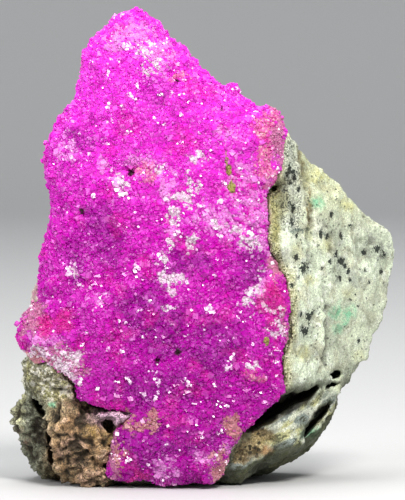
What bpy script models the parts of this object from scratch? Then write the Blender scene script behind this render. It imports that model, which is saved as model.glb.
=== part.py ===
"""A cobaltoan dolomite specimen, 70 mm tall: a magenta druse over the front of a broken block of rock.

Lengths in the lists are millimetres. X runs to the right of the druse face, Y runs back into the rock
and Z is up. The specimen stands on a flat broken foot at height zero.
"""

import math
import random

import bmesh
import bpy
from mathutils import Matrix, Vector, noise
from mathutils.geometry import delaunay_2d_cdt

MM = 0.001

# Druse: outline corners clockwise from the peak, as across, up, how far the rim rolls back, rim thickness
DRUSE_OUTLINE = [
    (-9.8, 70.0, 4.0, 0.9), (-7.7, 68.9, 4.0, 0.9), (-6.1, 67.8, 4.2, 0.9), (-5.0, 66.2, 4.2, 0.9),
    (-1.8, 63.4, 4.2, 0.9), (0.7, 60.5, 4.2, 0.9), (3.4, 58.2, 4.0, 0.9), (5.9, 57.1, 3.6, 0.9),
    (7.8, 55.6, 3.0, 0.9), (10.4, 55.7, 2.6, 0.9), (11.9, 53.4, 2.2, 0.9), (12.3, 52.1, 1.9, 0.9),
    (11.8, 49.2, 1.7, 0.9), (11.4, 47.0, 1.6, 0.9), (10.7, 44.8, 1.8, 0.9), (9.5, 43.7, 2.0, 0.9),
    (9.2, 41.9, 1.6, 0.9), (9.5, 39.8, 1.4, 0.9), (9.5, 34.7, 1.2, 0.9), (10.4, 33.0, 1.2, 0.9),
    (11.7, 31.1, 1.3, 0.9), (12.3, 28.9, 1.4, 0.9), (12.6, 26.7, 1.4, 0.9), (12.4, 22.3, 1.4, 0.9),
    (11.3, 19.0, 1.2, 0.9), (11.7, 15.8, 1.2, 0.9), (11.8, 14.0, 1.0, 0.9), (8.6, 10.8, 0.9, 1.0),
    (5.7, 8.3, 1.0, 1.0), (4.3, 6.4, 1.4, 1.0), (3.7, 4.2, 1.8, 1.0), (3.1, 2.1, 2.0, 1.0),
    (1.7, 0.9, 2.0, 1.0), (-1.6, 0.8, 1.9, 1.0), (-4.4, 0.4, 1.8, 1.0), (-6.2, 0.4, 1.8, 1.0),
    (-7.4, 1.0, 1.8, 1.0), (-8.4, 1.4, 1.8, 1.0), (-11.7, 1.1, 1.8, 1.0), (-13.9, 1.6, 2.0, 1.0),
    (-13.7, 4.9, 2.0, 1.0), (-13.2, 6.8, 1.8, 1.0),
    (-12.4, 8.6, 1.4, 1.2), (-9.5, 11.1, 0.8, 1.8), (-12.7, 11.7, 0.5, 2.2), (-15.6, 12.4, 0.4, 2.2),
    (-18.4, 13.4, 0.6, 1.8), (-18.1, 14.8, 0.8, 1.2), (-19.0, 16.0, 1.0, 1.0), (-20.7, 17.1, 1.2, 0.9),
    (-22.5, 18.6, 1.4, 0.9), (-24.2, 18.1, 2.0, 0.9), (-25.9, 19.3, 3.4, 0.9), (-27.4, 21.8, 4.6, 0.9),
    (-26.8, 24.9, 4.8, 0.9), (-24.3, 27.2, 4.6, 0.9), (-24.2, 30.4, 4.8, 0.9), (-23.7, 34.5, 4.8, 0.9),
    (-22.3, 39.6, 4.6, 0.9), (-22.3, 41.8, 4.6, 0.9), (-22.9, 44.7, 4.8, 0.9), (-23.3, 47.3, 4.8, 0.9),
    (-22.9, 50.1, 4.8, 0.9), (-20.7, 54.6, 4.6, 0.9), (-18.9, 56.4, 4.4, 0.9), (-18.0, 59.6, 4.4, 0.9),
    (-17.6, 63.4, 4.4, 0.9), (-16.3, 65.3, 4.2, 0.9), (-14.4, 66.8, 4.2, 0.9), (-13.8, 68.1, 4.2, 0.9),
    (-11.7, 69.2, 4.0, 0.9),
]
DRUSE_LEAN = 0.05        # how far the face leans back for each millimetre of height
DRUSE_THICKNESS = 2.7    # away from the rim
RIM_ROLL = 6.5           # width of the band in which the face rolls back to its rim
RIM_THINNING = 4.5       # width of the band in which the crust thins to its rim
CRYSTAL_PITCH = 2.3      # spacing of the small crystal tips and the hollows between them
CRYSTAL_RISE = 0.95      # tallest small crystal above its hollows
OUTLINE_STEP = 2.0       # longest straight run of the ragged rim
FACE_SWELL = 0.8         # broad swells of the face
BED_PITCH = 3.2          # spacing of the points of the surface the crust grew on
CONTACT_GAP = 0.3        # between the crust and the rock

# Broad features of the face: across, up, reach, rise towards the front, negative for hollows
FACE_FEATURES = [
    (-3.8, 60.0, 2.6, -1.0),
    (9.6, 52.0, 3.4, 0.7),
    (8.6, 44.2, 1.8, -1.1),
    (1.0, 36.0, 8.0, 1.2),
    (-14.0, 44.0, 7.0, 0.6),
    (-10.4, 46.2, 0.9, -1.3),
    (-3.5, 19.9, 1.0, -1.2),
    (-6.5, 18.7, 0.8, -1.0),
    (-17.6, 40.2, 0.9, -0.9),
    (2.9, 55.0, 0.8, -0.8),
    (-13.0, 27.0, 6.0, 0.9),
    (4.5, 18.0, 5.0, 0.7),
    (-4.0, 5.0, 5.0, 0.8),
    (-21.0, 23.0, 3.0, 0.6),
]

# Rhombs scattered over the whole face
RHOMB_PITCH = 5.1
RHOMB_EDGES = (1.2, 2.0)
RHOMB_MARGIN = 1.1       # least distance from the rim

# Larger rhombs that stand out of the druse: across, up, edge length
LARGE_CRYSTALS = [
    (-11.6, 64.4, 1.9), (-13.8, 60.5, 1.3), (-11.0, 57.6, 1.4), (-10.4, 58.9, 1.2), (-14.5, 56.4, 1.3),
    (-12.4, 56.2, 1.2), (-11.3, 52.7, 1.5), (-14.2, 51.3, 1.3), (-18.4, 48.2, 1.3), (-12.6, 44.2, 1.4),
    (-16.2, 43.2, 1.2), (-19.3, 31.3, 1.6), (-13.8, 20.5, 1.6), (-11.6, 20.2, 1.5), (-6.8, 17.2, 1.4),
    (-2.0, 15.6, 1.7), (4.4, 58.0, 1.5), (1.1, 26.0, 1.3), (-7.0, 67.4, 1.3), (-15.6, 62.0, 1.2),
    (-2.6, 62.0, 1.3), (1.6, 52.6, 1.3), (-5.5, 54.0, 1.4), (5.8, 50.0, 1.5), (-20.2, 44.0, 1.5),
    (-8.0, 49.5, 1.3), (-2.5, 46.5, 1.4), (-17.5, 36.5, 1.5), (-9.5, 39.0, 1.4), (-4.2, 40.5, 1.6),
    (3.5, 42.0, 1.4), (6.5, 37.0, 1.6), (-13.2, 34.5, 1.3), (-6.5, 33.0, 1.5), (0.5, 32.0, 1.6),
    (5.6, 31.0, 1.5), (9.0, 28.5, 1.6), (-22.0, 26.5, 1.5), (-16.5, 27.0, 1.4), (-10.5, 28.5, 1.5),
    (-3.0, 27.5, 1.4), (4.0, 25.0, 1.7), (8.8, 22.5, 1.5), (-23.6, 21.8, 1.4), (-18.6, 20.8, 1.5),
    (1.5, 20.5, 1.5), (7.8, 17.0, 1.6), (-9.0, 14.6, 1.5), (3.2, 13.4, 1.5), (-5.8, 10.8, 1.6),
    (0.2, 8.0, 1.7), (-9.8, 6.2, 1.6), (-3.6, 3.4, 1.5), (-11.6, 3.4, 1.4), (1.2, 3.8, 1.3),
]
CRYSTAL_TILT = 0.9       # largest lean of a rhomb from straight out of the face, radians
RHOMB_SQUASH = 0.82      # shortening of a cube along its diagonal that makes the rhomb
RHOMB_OUT = 0.1          # share of the edge by which a rhomb's middle stands out of the face

# Host rock: each block is the hull of its corners, as across, back, up
CROWN = [
    (-9.9, 8.5, 68.4), (-10.4, 13, 67.2), (-8.2, 9, 67.2), (-13.7, 9, 65.2), (-16.2, 10, 62.2),
    (-15.2, 18, 60.8), (-19.3, 9.5, 53.9), (-18.2, 19, 53.0), (-21.6, 9.5, 49.4), (-20.6, 21, 48.0),
    (-21.8, 9, 44.4), (-20.8, 23, 42.0), (-21.2, 8.5, 39.7), (-20.6, 24, 37.0), (-6.4, 9.5, 65.2),
    (-6.6, 15, 63.2), (-3.0, 9.5, 62.0), (-0.7, 9, 59.1), (-1.2, 18, 57.4), (2.6, 8.5, 56.6),
    (3.2, 18, 54.6), (6.8, 7.5, 54.2), (9.6, 7, 54.2), (8.8, 17, 52.6), (11.5, 6, 52.5),
    (12.3, 6, 51.6), (14.6, 9.5, 48.5), (14.0, 19, 47.0), (16.7, 11.5, 45.8), (-3.9, 24, 51.6),
    (-7.9, 28, 44.0), (5.7, 28, 44.0), (-12.0, 5, 57.9), (-0.4, 4, 53.6), (8.4, 4, 49.2),
    (-16.3, 3, 42.0), (5.4, 1, 37.7), (-19.2, 2, 33.3), (-19.9, 25, 30.5), (12.7, 2.5, 33.3),
    (14.7, 24, 32.1),
]
WAIST = [
    (-21.2, 8, 39.7), (-20.6, 24, 37.0), (-22.6, 8, 35.2), (-21.8, 23, 32.1), (-23.0, 8, 29.7),
    (-23.0, 8, 27.1), (-24.6, 7.5, 25.0), (-26.0, 7, 22.0), (-24.4, 19, 22.0), (-25.2, 5, 19.7),
    (-20.8, 4, 12.7), (-16.4, 4, 8.3), (12.1, 3.5, 37.6), (12.7, 2.5, 27.4), (12.4, 2.5, 20.2),
    (12.1, 2.6, 14.3), (5.5, 2.4, 7.6), (5.6, 24, 5.5), (13.1, 22, 12.7), (14.7, 25, 36.6),
    (-0.4, 29, 31.8), (-8.0, 29, 21.2), (-17.0, 27, 21.3), (-0.4, 29, 10.5),
]
FLANK = [
    (11.3, 4.5, 43.8), (10.1, 4, 39.7), (10.1, 3.6, 34.7), (12.4, 2.6, 29.6), (12.7, 2.4, 26.7),
    (12.7, 2.4, 22.4), (12.1, 2.6, 14.3), (12.2, 7, 51.7), (14.7, 9.5, 48.7), (17.0, 11.5, 45.9),
    (19.0, 13.5, 43.0), (20.8, 15, 41.5), (22.8, 17, 39.5), (26.3, 19.5, 37.6), (28.0, 21, 36.3),
    (29.1, 22, 33.2), (28.2, 21.5, 28.9), (26.5, 19.5, 23.4), (24.8, 17.5, 20.2), (24.5, 17, 17.9),
    (20.5, 14, 12.9), (14.2, 3.6, 27.4), (17.2, 7.5, 34.5), (15.7, 6.5, 38.9), (27.7, 26, 33.5),
    (26.2, 26, 25.9), (21.4, 24, 18.5), (17.6, 21, 13.5), (14.6, 24, 41.1), (4.2, 30, 31.8),
    (7.2, 28, 13.7),
]
STEP = [
    (5.6, 2.6, 7.9), (7.4, 3.2, 8.3), (10.0, 4.2, 9.6), (12.9, 5.6, 11.0), (14.9, 7.5, 12.0),
    (16.7, 9.5, 13.1), (17.8, 11, 14.5), (20.5, 14, 12.9), (20.5, 14.5, 11.2), (19.4, 14.5, 9.1),
    (17.1, 15, 5.7), (14.0, 14, 3.4), (12.8, 7, 6.0), (8.8, 10, 2.5), (6.2, 4, 3.7), (4.0, 5, 0.6),
    (3.5, 9, -0.1), (19.9, 22, 12.4), (16.5, 24, 4.9), (9.0, 25, 1.2), (5.0, 20, -1.7), (4.9, 26, 4.7),
]
FOOT = [
    (-13.9, 3.4, 2.4), (-13.2, 3, 6.3), (-12.6, 2.6, 8.5), (-9.5, 2.4, 10.8), (5.5, 2.6, 7.9),
    (4.3, 2.8, 6.1), (3.7, 3, 3.8), (2.8, 3.2, 2.6), (1.6, 9.0, -1.0), (-1.8, 8.4, -1.0),
    (-5.5, 8.0, -1.0), (-8.4, 8.6, -1.0), (-11.7, 7.6, -1.0), (-14.1, 6.0, -1.0), (5.6, 14, -1.8),
    (5.8, 21, -2.6), (3.9, 27, -3.3), (-3.4, 29, -3.5), (-12.5, 28, -3.4), (5.7, 27, 6.2),
    (-14.0, 28, 7.6),
]
HEEL = [
    (-24.6, 11, 20.5), (-23.4, 21, 20.0), (-18.0, 27, 19.0), (-10.0, 28.5, 18.0), (-24.8, 13, 10.0),
    (-24.0, 21.5, 9.0), (-21.8, 15, -1.5), (-20.6, 22.5, -2.2), (-15.0, 27.0, -2.4), (-10.0, 28.5, -2.5),
    (-18.0, 28.0, 9.0), (-12.0, 12, -2.0), (-12.0, 10, 18.0), (-18.0, 10, 3.0),
]
LEDGE = [
    (-15.7, 0.9, 11.4), (-12.7, 0.8, 11.1), (-9.1, 1.1, 10.8), (-5.6, 1.2, 11.2), (-5.3, 1.6, 9.5),
    (-7.6, 1.4, 8.5), (-8.6, 1.4, 8.2), (-12.3, 1.2, 9.1), (-15.2, 0.9, 9.8), (-15.7, 1, 10.4),
    (-15.9, 8, 10.8), (-5.7, 8, 10.9), (-7.7, 8, 7.1), (-15.3, 8, 7.7),
]
BROW = [
    (-25.8, 5.2, 17.6), (-22.5, 2.6, 18.1), (-20.7, 2.2, 16.7), (-19.0, 2, 15.5), (-18.2, 1.8, 14.1),
    (-18.4, 2, 12.9), (-20.1, 2.2, 12.9), (-23.1, 3.2, 13.1), (-25.2, 5, 13.5), (-25.8, 6, 14.6),
    (-26.2, 9, 18.8), (-25.8, 14, 14.8), (-25.0, 14, 12.5), (-18.1, 14, 11.9), (-16.6, 12, 18.0),
    (-21.1, 14, 19.3),
]
FRONT_LUMP = [
    (-23.4, 4, 13.0), (-20.4, 2.4, 13.5), (-17.8, 1.8, 11.8), (-15.5, 1.6, 10.9), (-15.2, 1.8, 9.4),
    (-12.9, 2.2, 8.2), (-13.5, 2, 6.2), (-14.0, 2.4, 2.7), (-14.4, 3, -0.6), (-16.4, 3.4, -0.6),
    (-17.9, 3.2, 0.5), (-19.3, 3.2, 1.7), (-20.8, 3.4, 3.1), (-22.0, 4.4, 2.4), (-22.2, 4, 4.7),
    (-22.8, 3.6, 8.4), (-21.0, 1.9, 7.1), (-17.2, 1.5, 5.7), (-23.5, 14, 11.9), (-22.9, 15, 5.8),
    (-20.9, 15, 1.3), (-17.6, 14, -1.8), (-13.7, 15, -1.9), (-12.9, 16, 7.2),
]
BACK_LUMP = [
    (-26.5, 8.6, 13.1), (-24.4, 8, 12.4), (-22.7, 8, 6.5), (-22.4, 8.4, 2.3), (-23.2, 9, 1.2),
    (-24.5, 9.4, 1.2), (-25.4, 9.6, 2.2), (-25.9, 10, 3.3), (-26.6, 10, 4.8), (-27.2, 10, 6.7),
    (-28.1, 10.5, 7.7), (-28.2, 11, 8.6), (-27.6, 10.5, 11.0), (-25.6, 16, 12.3), (-27.2, 17, 7.1),
    (-24.6, 19, 0.9), (-21.9, 19, -0.6), (-21.3, 20, 11.3), (-16.9, 22, 5.1), (-16.9, 22, -2.0),
    (-18.3, 20, -2.5),
]
KNOB = [
    (17.0, 11.2, 46.1), (18.4, 12.3, 46.0), (19.0, 12.8, 44.6), (19.2, 13.2, 43.1), (16.6, 9.6, 44.8),
    (16.8, 9.4, 43.4), (17.9, 10.4, 42.7), (17.0, 15.5, 45.0), (18.4, 15.8, 44.2),
]
CRACK_END = [
    (9.0, 15.0, 7.0), (9.0, 24.5, 6.0), (16.0, 16.5, 9.0), (17.0, 22.0, 7.5), (9.0, 15.0, 16.0),
    (9.0, 25.0, 17.0), (19.0, 17.0, 15.5), (19.5, 22.0, 15.5), (18.5, 16.5, 12.0),
]
ROCK_BLOCKS = [
    CROWN, WAIST, FLANK, STEP, FOOT, HEEL, LEDGE, BROW, FRONT_LUMP, BACK_LUMP, KNOB, CRACK_END,
]

# Open cracks and pits of the rock: outline across and up, depths where it starts and ends, how far its
# inner end is shifted across and up, and the share of its size there
MAIN_CRACK = (
    [(5.0, 8.3), (8.2, 11.3), (11.2, 13.8), (12.6, 14.0), (14.6, 13.9), (14.6, 12.4), (11.4, 10.2),
     (8.1, 8.2), (6.5, 7.8)],
    -3.0, 18.0, (0.2, 0.1), 0.7,
)
MAIN_CRACK_END = (
    [(13.6, 13.6), (15.8, 14.5), (17.9, 15.5), (18.6, 15.4), (18.0, 14.2), (16.2, 12.5), (13.6, 11.6)],
    -3.0, 18.0, (-0.8, -0.5), 0.65,
)
LOWER_CRACK = (
    [(13.8, 6.2), (14.7, 8.2), (16.2, 10.1), (17.9, 12.0), (19.2, 12.9), (19.8, 12.6), (19.2, 10.9),
     (17.7, 9.2), (16.2, 7.7), (14.9, 6.4)],
    -3.0, 18.5, (-0.4, -0.7), 0.75,
)
CRACK_HOLE = (
    [(18.4, 16.0), (19.3, 17.0), (20.7, 17.2), (21.6, 16.5), (20.9, 15.3), (19.3, 15.1)],
    0.0, 20.0, (-0.6, -0.6), 0.6,
)
THIN_CRACK = (
    [(17.4, 14.9), (18.6, 15.0), (20.2, 14.9), (20.4, 14.1), (19.0, 13.9), (17.6, 14.0)],
    0.0, 18.0, (0.0, -0.3), 0.7,
)
OVERHANG_GAP = (
    [(-19.4, 13.5), (-17.8, 13.2), (-15.6, 12.6), (-13.1, 11.9), (-9.4, 11.2), (-9.6, 10.9),
     (-13.1, 10.9), (-16.0, 11.0), (-17.9, 11.9)],
    -3.0, 7.0, (0.6, 0.0), 0.6,
)
LEDGE_PIT = (
    [(-15.3, 9.8), (-13.9, 10.1), (-12.4, 9.8), (-12.3, 8.6), (-12.7, 7.1), (-14.2, 7.0), (-15.2, 8.3)],
    -3.0, 6.5, (0.0, 0.8), 0.5,
)
REAR_GAP_UPPER = (
    [(-26.9, 14.5), (-25.8, 14.4), (-24.3, 12.5), (-23.1, 10.0), (-23.3, 8.9), (-24.3, 9.5), (-25.7, 11.9)],
    -3.0, 14.0, (0.8, 0.0), 0.5,
)
REAR_GAP_LOWER = (
    [(-24.1, 11.2), (-23.0, 10.6), (-22.3, 8.3), (-21.8, 5.3), (-21.9, 1.0), (-23.0, 1.0), (-23.3, 5.3),
     (-23.8, 8.5)],
    -3.0, 13.0, (0.8, 0.0), 0.5,
)
NOTCH_CRACK = (
    [(8.8, 42.7), (9.8, 43.8), (11.9, 44.9), (12.3, 44.2), (10.4, 42.8), (9.2, 42.1)],
    0.0, 8.5, (0.0, 0.0), 0.6,
)
FLANK_SLIT = (
    [(15.2, 39.7), (15.7, 40.5), (16.3, 39.4), (16.3, 37.9), (15.7, 36.8), (15.2, 37.9)],
    0.0, 11.0, (0.0, -0.4), 0.6,
)
BROW_PIT = (
    [(-21.0, 16.8), (-20.1, 17.2), (-19.2, 16.8), (-19.3, 15.8), (-20.6, 15.8)],
    -3.0, 4.6, (0.0, 0.0), 0.5,
)
ROCK_OPENINGS = [
    MAIN_CRACK, MAIN_CRACK_END, LOWER_CRACK, CRACK_HOLE, THIN_CRACK, OVERHANG_GAP, LEDGE_PIT,
    REAR_GAP_UPPER, REAR_GAP_LOWER, NOTCH_CRACK, FLANK_SLIT, BROW_PIT,
]
ROCK_VOXEL = 0.9         # size of the cells that join the blocks into one rough body
ROCK_TRIANGLES = 3120    # of the rock before its cracks are opened
ROUGH_BROAD = (0.55, 7.0)    # height and width of the rock's broad lumps
ROUGH_FINE = (0.32, 2.4)     # and of its small ones
ROUGH_STREAK = (0.3, 1.8, 6.5)   # height, width and length of the upright streaks


def clear_scene():
    for old in list(bpy.data.objects):
        bpy.data.objects.remove(old, do_unlink=True)


def add_object(name, bm):
    mesh = bpy.data.meshes.new(name)
    bm.normal_update()
    bm.to_mesh(mesh)
    bm.free()
    made = bpy.data.objects.new(name, mesh)
    bpy.context.scene.collection.objects.link(made)
    return made


def apply_modifiers(target):
    """Keeps the shape the modifiers give and takes the modifiers off."""
    graph = bpy.context.evaluated_depsgraph_get()
    shaped = bpy.data.meshes.new_from_object(target.evaluated_get(graph))
    target.modifiers.clear()
    old = target.data
    target.data = shaped
    bpy.data.meshes.remove(old)


def combine(target, tool, operation, self_crossing=False):
    """Joins the tool to the target, or cuts it away, and removes the tool."""
    step = target.modifiers.new(operation.lower(), "BOOLEAN")
    step.operation = operation
    step.solver = "EXACT"
    step.use_self = self_crossing
    step.object = tool
    apply_modifiers(target)
    bpy.data.objects.remove(tool, do_unlink=True)


def block(name, corners):
    bm = bmesh.new()
    for corner in corners:
        bm.verts.new(Vector(corner) * MM)
    hull = bmesh.ops.convex_hull(bm, input=bm.verts)
    unused = hull["geom_interior"] + hull["geom_unused"]
    spare = {part for part in unused if isinstance(part, bmesh.types.BMVert)}
    bmesh.ops.delete(bm, geom=list(spare), context="VERTS")
    bmesh.ops.recalc_face_normals(bm, faces=bm.faces)
    return add_object(name, bm)


def opening(outline, start, end, shift, share):
    """The hull between an outline and its smaller, shifted copy further back."""
    middle = [sum(corner[k] for corner in outline) / len(outline) for k in range(2)]
    near = [(x, start, z) for x, z in outline]
    far = [
        (middle[0] + share * (x - middle[0]) + shift[0], end, middle[1] + share * (z - middle[1]) + shift[1])
        for x, z in outline
    ]
    return block("opening", near + far)


def keep_largest_body(target):
    """Drops the crumbs that a cut leaves loose beside the main body."""
    bm = bmesh.new()
    bm.from_mesh(target.data)
    waiting = set(bm.verts)
    bodies = []
    while waiting:
        front = [waiting.pop()]
        body = set(front)
        while front:
            vert = front.pop()
            fresh = {edge.other_vert(vert) for edge in vert.link_edges} & waiting
            waiting -= fresh
            body |= fresh
            front.extend(fresh)
        bodies.append(body)
    bodies.sort(key=len)
    bmesh.ops.delete(bm, geom=[v for body in bodies[:-1] for v in body], context="VERTS")
    bm.to_mesh(target.data)
    bm.free()


def smooth_step(t):
    t = min(max(t, 0.0), 1.0)
    return t * t * (3.0 - 2.0 * t)


def rim_at(x, z):
    """Distance to the nearest rim, with the rim's roll-back and thickness there."""
    best = (1e9, 0.0, 0.0)
    for a, b in zip(DRUSE_OUTLINE, DRUSE_OUTLINE[1:] + DRUSE_OUTLINE[:1]):
        run_x, run_z = b[0] - a[0], b[1] - a[1]
        along = ((x - a[0]) * run_x + (z - a[1]) * run_z) / (run_x * run_x + run_z * run_z)
        along = min(max(along, 0.0), 1.0)
        distance = math.hypot(x - a[0] - along * run_x, z - a[1] - along * run_z)
        if distance < best[0]:
            best = (distance, a[2] + along * (b[2] - a[2]), a[3] + along * (b[3] - a[3]))
    return best


def inside_outline(x, z):
    crossings = 0
    for a, b in zip(DRUSE_OUTLINE, DRUSE_OUTLINE[1:] + DRUSE_OUTLINE[:1]):
        if (a[1] > z) != (b[1] > z) and x < a[0] + (z - a[1]) / (b[1] - a[1]) * (b[0] - a[0]):
            crossings += 1
    return crossings % 2 == 1


def face_depth(x, z, rim, inside=True):
    """Depth of the crust's front, without its crystals."""
    distance, roll = rim[0] if inside else 0.0, rim[1]
    at_rim = (1.0 - min(distance / RIM_ROLL, 1.0)) ** 2
    swell = FACE_SWELL * noise.noise((x / 11.0, 3.7, z / 11.0))
    for centre_x, centre_z, reach, rise in FACE_FEATURES:
        swell += rise * math.exp(-((x - centre_x) ** 2 + (z - centre_z) ** 2) / (reach * reach))
    return DRUSE_LEAN * z + roll * at_rim - swell * (1.0 - at_rim)


def bed_depth(x, z, inside=True):
    """Depth of the rock surface the crust grew on."""
    rim = rim_at(x, z)
    distance = rim[0] if inside else 0.0
    thick = rim[2] + (DRUSE_THICKNESS - rim[2]) * smooth_step(distance / RIM_THINNING)
    return face_depth(x, z, rim, inside) + thick


def grown_outline(by):
    """The outline's corners moved outwards."""
    count = len(DRUSE_OUTLINE)
    moved = []
    for k in range(count):
        before, here, after = DRUSE_OUTLINE[k - 1], DRUSE_OUTLINE[k], DRUSE_OUTLINE[(k + 1) % count]
        run = Vector((after[0] - before[0], after[1] - before[1])).normalized()
        moved.append((here[0] - run.y * by, here[1] + run.x * by))
    return moved


def stepped(corners, step):
    """The closed line with no run longer than the step."""
    points = []
    for a, b in zip(corners, corners[1:] + corners[:1]):
        parts = max(1, math.ceil(math.hypot(b[0] - a[0], b[1] - a[1]) / step))
        for k in range(parts):
            points.append((a[0] + (b[0] - a[0]) * k / parts, a[1] + (b[1] - a[1]) * k / parts))
    return points


def triangulated_sheet(line, pitch, jitter, margin, draw):
    """Triangles over the closed line, with inner points on a shaken hexagonal net."""
    count = len(line)
    inner = []
    row = 0
    z = min(p[1] for p in line)
    while z < max(p[1] for p in line):
        x = min(p[0] for p in line) + (row % 2) * pitch / 2
        while x < max(p[0] for p in line):
            shaken = (x + draw.uniform(-jitter, jitter), z + draw.uniform(-jitter, jitter))
            if inside_outline(*shaken) and rim_at(*shaken)[0] > margin:
                inner.append(shaken)
            x += pitch
        z += pitch * math.sqrt(3.0) / 2.0
        row += 1
    points = [Vector(p) for p in line + inner]
    edges = [(k, (k + 1) % count) for k in range(count)]
    found = delaunay_2d_cdt(points, edges, [], 1, 1e-5)
    return [tuple(p) for p in found[0]], found[2]


def deep_sheet(name, points, triangles, depths, behind):
    """A solid with the sheet as one side and a copy of it moved to one depth as the other."""
    mesh = bpy.data.meshes.new(name)
    mesh.from_pydata([(p[0] * MM, d * MM, p[1] * MM) for p, d in zip(points, depths)], [], triangles)
    bm = bmesh.new()
    bm.from_mesh(mesh)
    bpy.data.meshes.remove(mesh)
    lid = bmesh.ops.extrude_face_region(bm, geom=list(bm.faces))
    for vert in (part for part in lid["geom"] if isinstance(part, bmesh.types.BMVert)):
        vert.co.y = behind * MM
    bmesh.ops.recalc_face_normals(bm, faces=bm.faces)
    return add_object(name, bm)


def rhomb(bm, centre, edge, turn):
    """One rhombohedron: a cube shortened along its diagonal."""
    made = bmesh.ops.create_cube(bm, size=edge)["verts"]
    squash = Matrix.Scale(RHOMB_SQUASH, 3, Vector((1, 1, 1)).normalized())
    to_front = Vector((1, 1, 1)).rotation_difference(Vector((0, -1, 0))).to_matrix()
    for vert in made:
        vert.co = turn @ to_front @ squash @ vert.co + centre


def add_material(target, name, colour, roughness):
    made = bpy.data.materials.new(name)
    made.use_nodes = True
    shader = made.node_tree.nodes["Principled BSDF"]
    shader.inputs["Base Color"].default_value = (*colour, 1.0)
    shader.inputs["Roughness"].default_value = roughness
    shader.inputs["Metallic"].default_value = 0.0
    made.diffuse_color = (*colour, 1.0)
    target.data.materials.clear()
    target.data.materials.append(made)


def settle_origin(target, parent):
    """Puts the object's origin at the middle of its foot and hangs it on the parent."""
    corners = [vert.co for vert in target.data.vertices]
    middle = Vector([(min(c[k] for c in corners) + max(c[k] for c in corners)) / 2.0 for k in range(3)])
    middle.z = min(c.z for c in corners)
    target.data.transform(Matrix.Translation(-middle))
    target.location = middle
    target.parent = parent


def centre_on_foot(parent, made):
    """Moves the parent so that the middle of the specimen's footprint box is at the origin."""
    corners = [piece.location + vert.co for piece in made for vert in piece.data.vertices]
    for k in range(2):
        parent.location[k] = -(min(c[k] for c in corners) + max(c[k] for c in corners)) / 2.0


def build_bed():
    """The deep solid behind the surface the crust grew on, reaching a little past the outline."""
    draw = random.Random(11)
    line = stepped(grown_outline(2.0), BED_PITCH)
    points, triangles = triangulated_sheet(line, BED_PITCH, 0.5, 1.2, draw)
    depths = [bed_depth(x, z, inside_outline(x, z)) for x, z in points]
    return deep_sheet("bed", points, triangles, depths, 60.0)


def scattered_rhombs(draw):
    """Places and edge lengths on a loosely shaken net, clear of the rim."""
    places = []
    top = max(corner[1] for corner in DRUSE_OUTLINE)
    right = max(corner[0] for corner in DRUSE_OUTLINE)
    z = 0.0
    while z < top:
        x = min(corner[0] for corner in DRUSE_OUTLINE)
        while x < right:
            shaken = (x + draw.uniform(-0.5, 0.5) * RHOMB_PITCH, z + draw.uniform(-0.5, 0.5) * RHOMB_PITCH)
            if inside_outline(*shaken) and rim_at(*shaken)[0] > RHOMB_MARGIN:
                places.append((*shaken, draw.uniform(*RHOMB_EDGES)))
            x += RHOMB_PITCH
        z += RHOMB_PITCH
    return places


def build_druse():
    draw = random.Random(5)
    line = stepped([corner[:2] for corner in DRUSE_OUTLINE], OUTLINE_STEP)
    points, triangles = triangulated_sheet(line, CRYSTAL_PITCH, 0.42, 0.75, draw)
    depths = []
    for k, (x, z) in enumerate(points):
        on_rim = k < len(line)
        height = CRYSTAL_RISE * draw.random() ** 1.6 * (0.3 if on_rim else 1.0)
        depths.append(face_depth(x, z, rim_at(x, z), not on_rim) - height)
    crust = deep_sheet("dolomite_crust", points, triangles, depths, 40.0)
    combine(crust, build_bed(), "DIFFERENCE")
    keep_largest_body(crust)
    bm = bmesh.new()
    for x, z, edge in LARGE_CRYSTALS + scattered_rhombs(draw):
        depth = face_depth(x, z, rim_at(x, z)) - edge * RHOMB_OUT
        axis = Vector((draw.uniform(-1, 1), 0, draw.uniform(-1, 1))).normalized()
        lean = Matrix.Rotation(draw.uniform(0.1, CRYSTAL_TILT), 3, axis)
        spin = Matrix.Rotation(draw.uniform(0, math.tau), 3, Vector((0, 1, 0)))
        rhomb(bm, Vector((x, depth, z)) * MM, edge * MM, lean @ spin)
    combine(crust, add_object("rhombs", bm), "UNION", True)
    keep_largest_body(crust)
    return crust


def roughen(target):
    """Moves the rock's points along their normals by lumps, grains and upright streaks."""
    for vert in target.data.vertices:
        place = vert.co / MM
        height = ROUGH_BROAD[0] * noise.fractal(place / ROUGH_BROAD[1], 0.9, 2.1, 3)
        height += ROUGH_FINE[0] * noise.noise(place / ROUGH_FINE[1])
        streak = Vector((place.x / ROUGH_STREAK[1], place.y / ROUGH_STREAK[1], place.z / ROUGH_STREAK[2]))
        height += ROUGH_STREAK[0] * noise.noise(streak)
        vert.co += vert.normal * height * MM


def cut_flat_foot(target):
    """Breaks the rock off flat at height zero."""
    bm = bmesh.new()
    bm.from_mesh(target.data)
    everything = list(bm.verts) + list(bm.edges) + list(bm.faces)
    bmesh.ops.bisect_plane(bm, geom=everything, plane_co=(0, 0, 0), plane_no=(0, 0, 1), clear_inner=True)
    rims = [edge for edge in bm.edges if len(edge.link_faces) == 1]
    bmesh.ops.holes_fill(bm, edges=rims, sides=0)
    bmesh.ops.recalc_face_normals(bm, faces=bm.faces)
    bm.to_mesh(target.data)
    bm.free()


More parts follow.
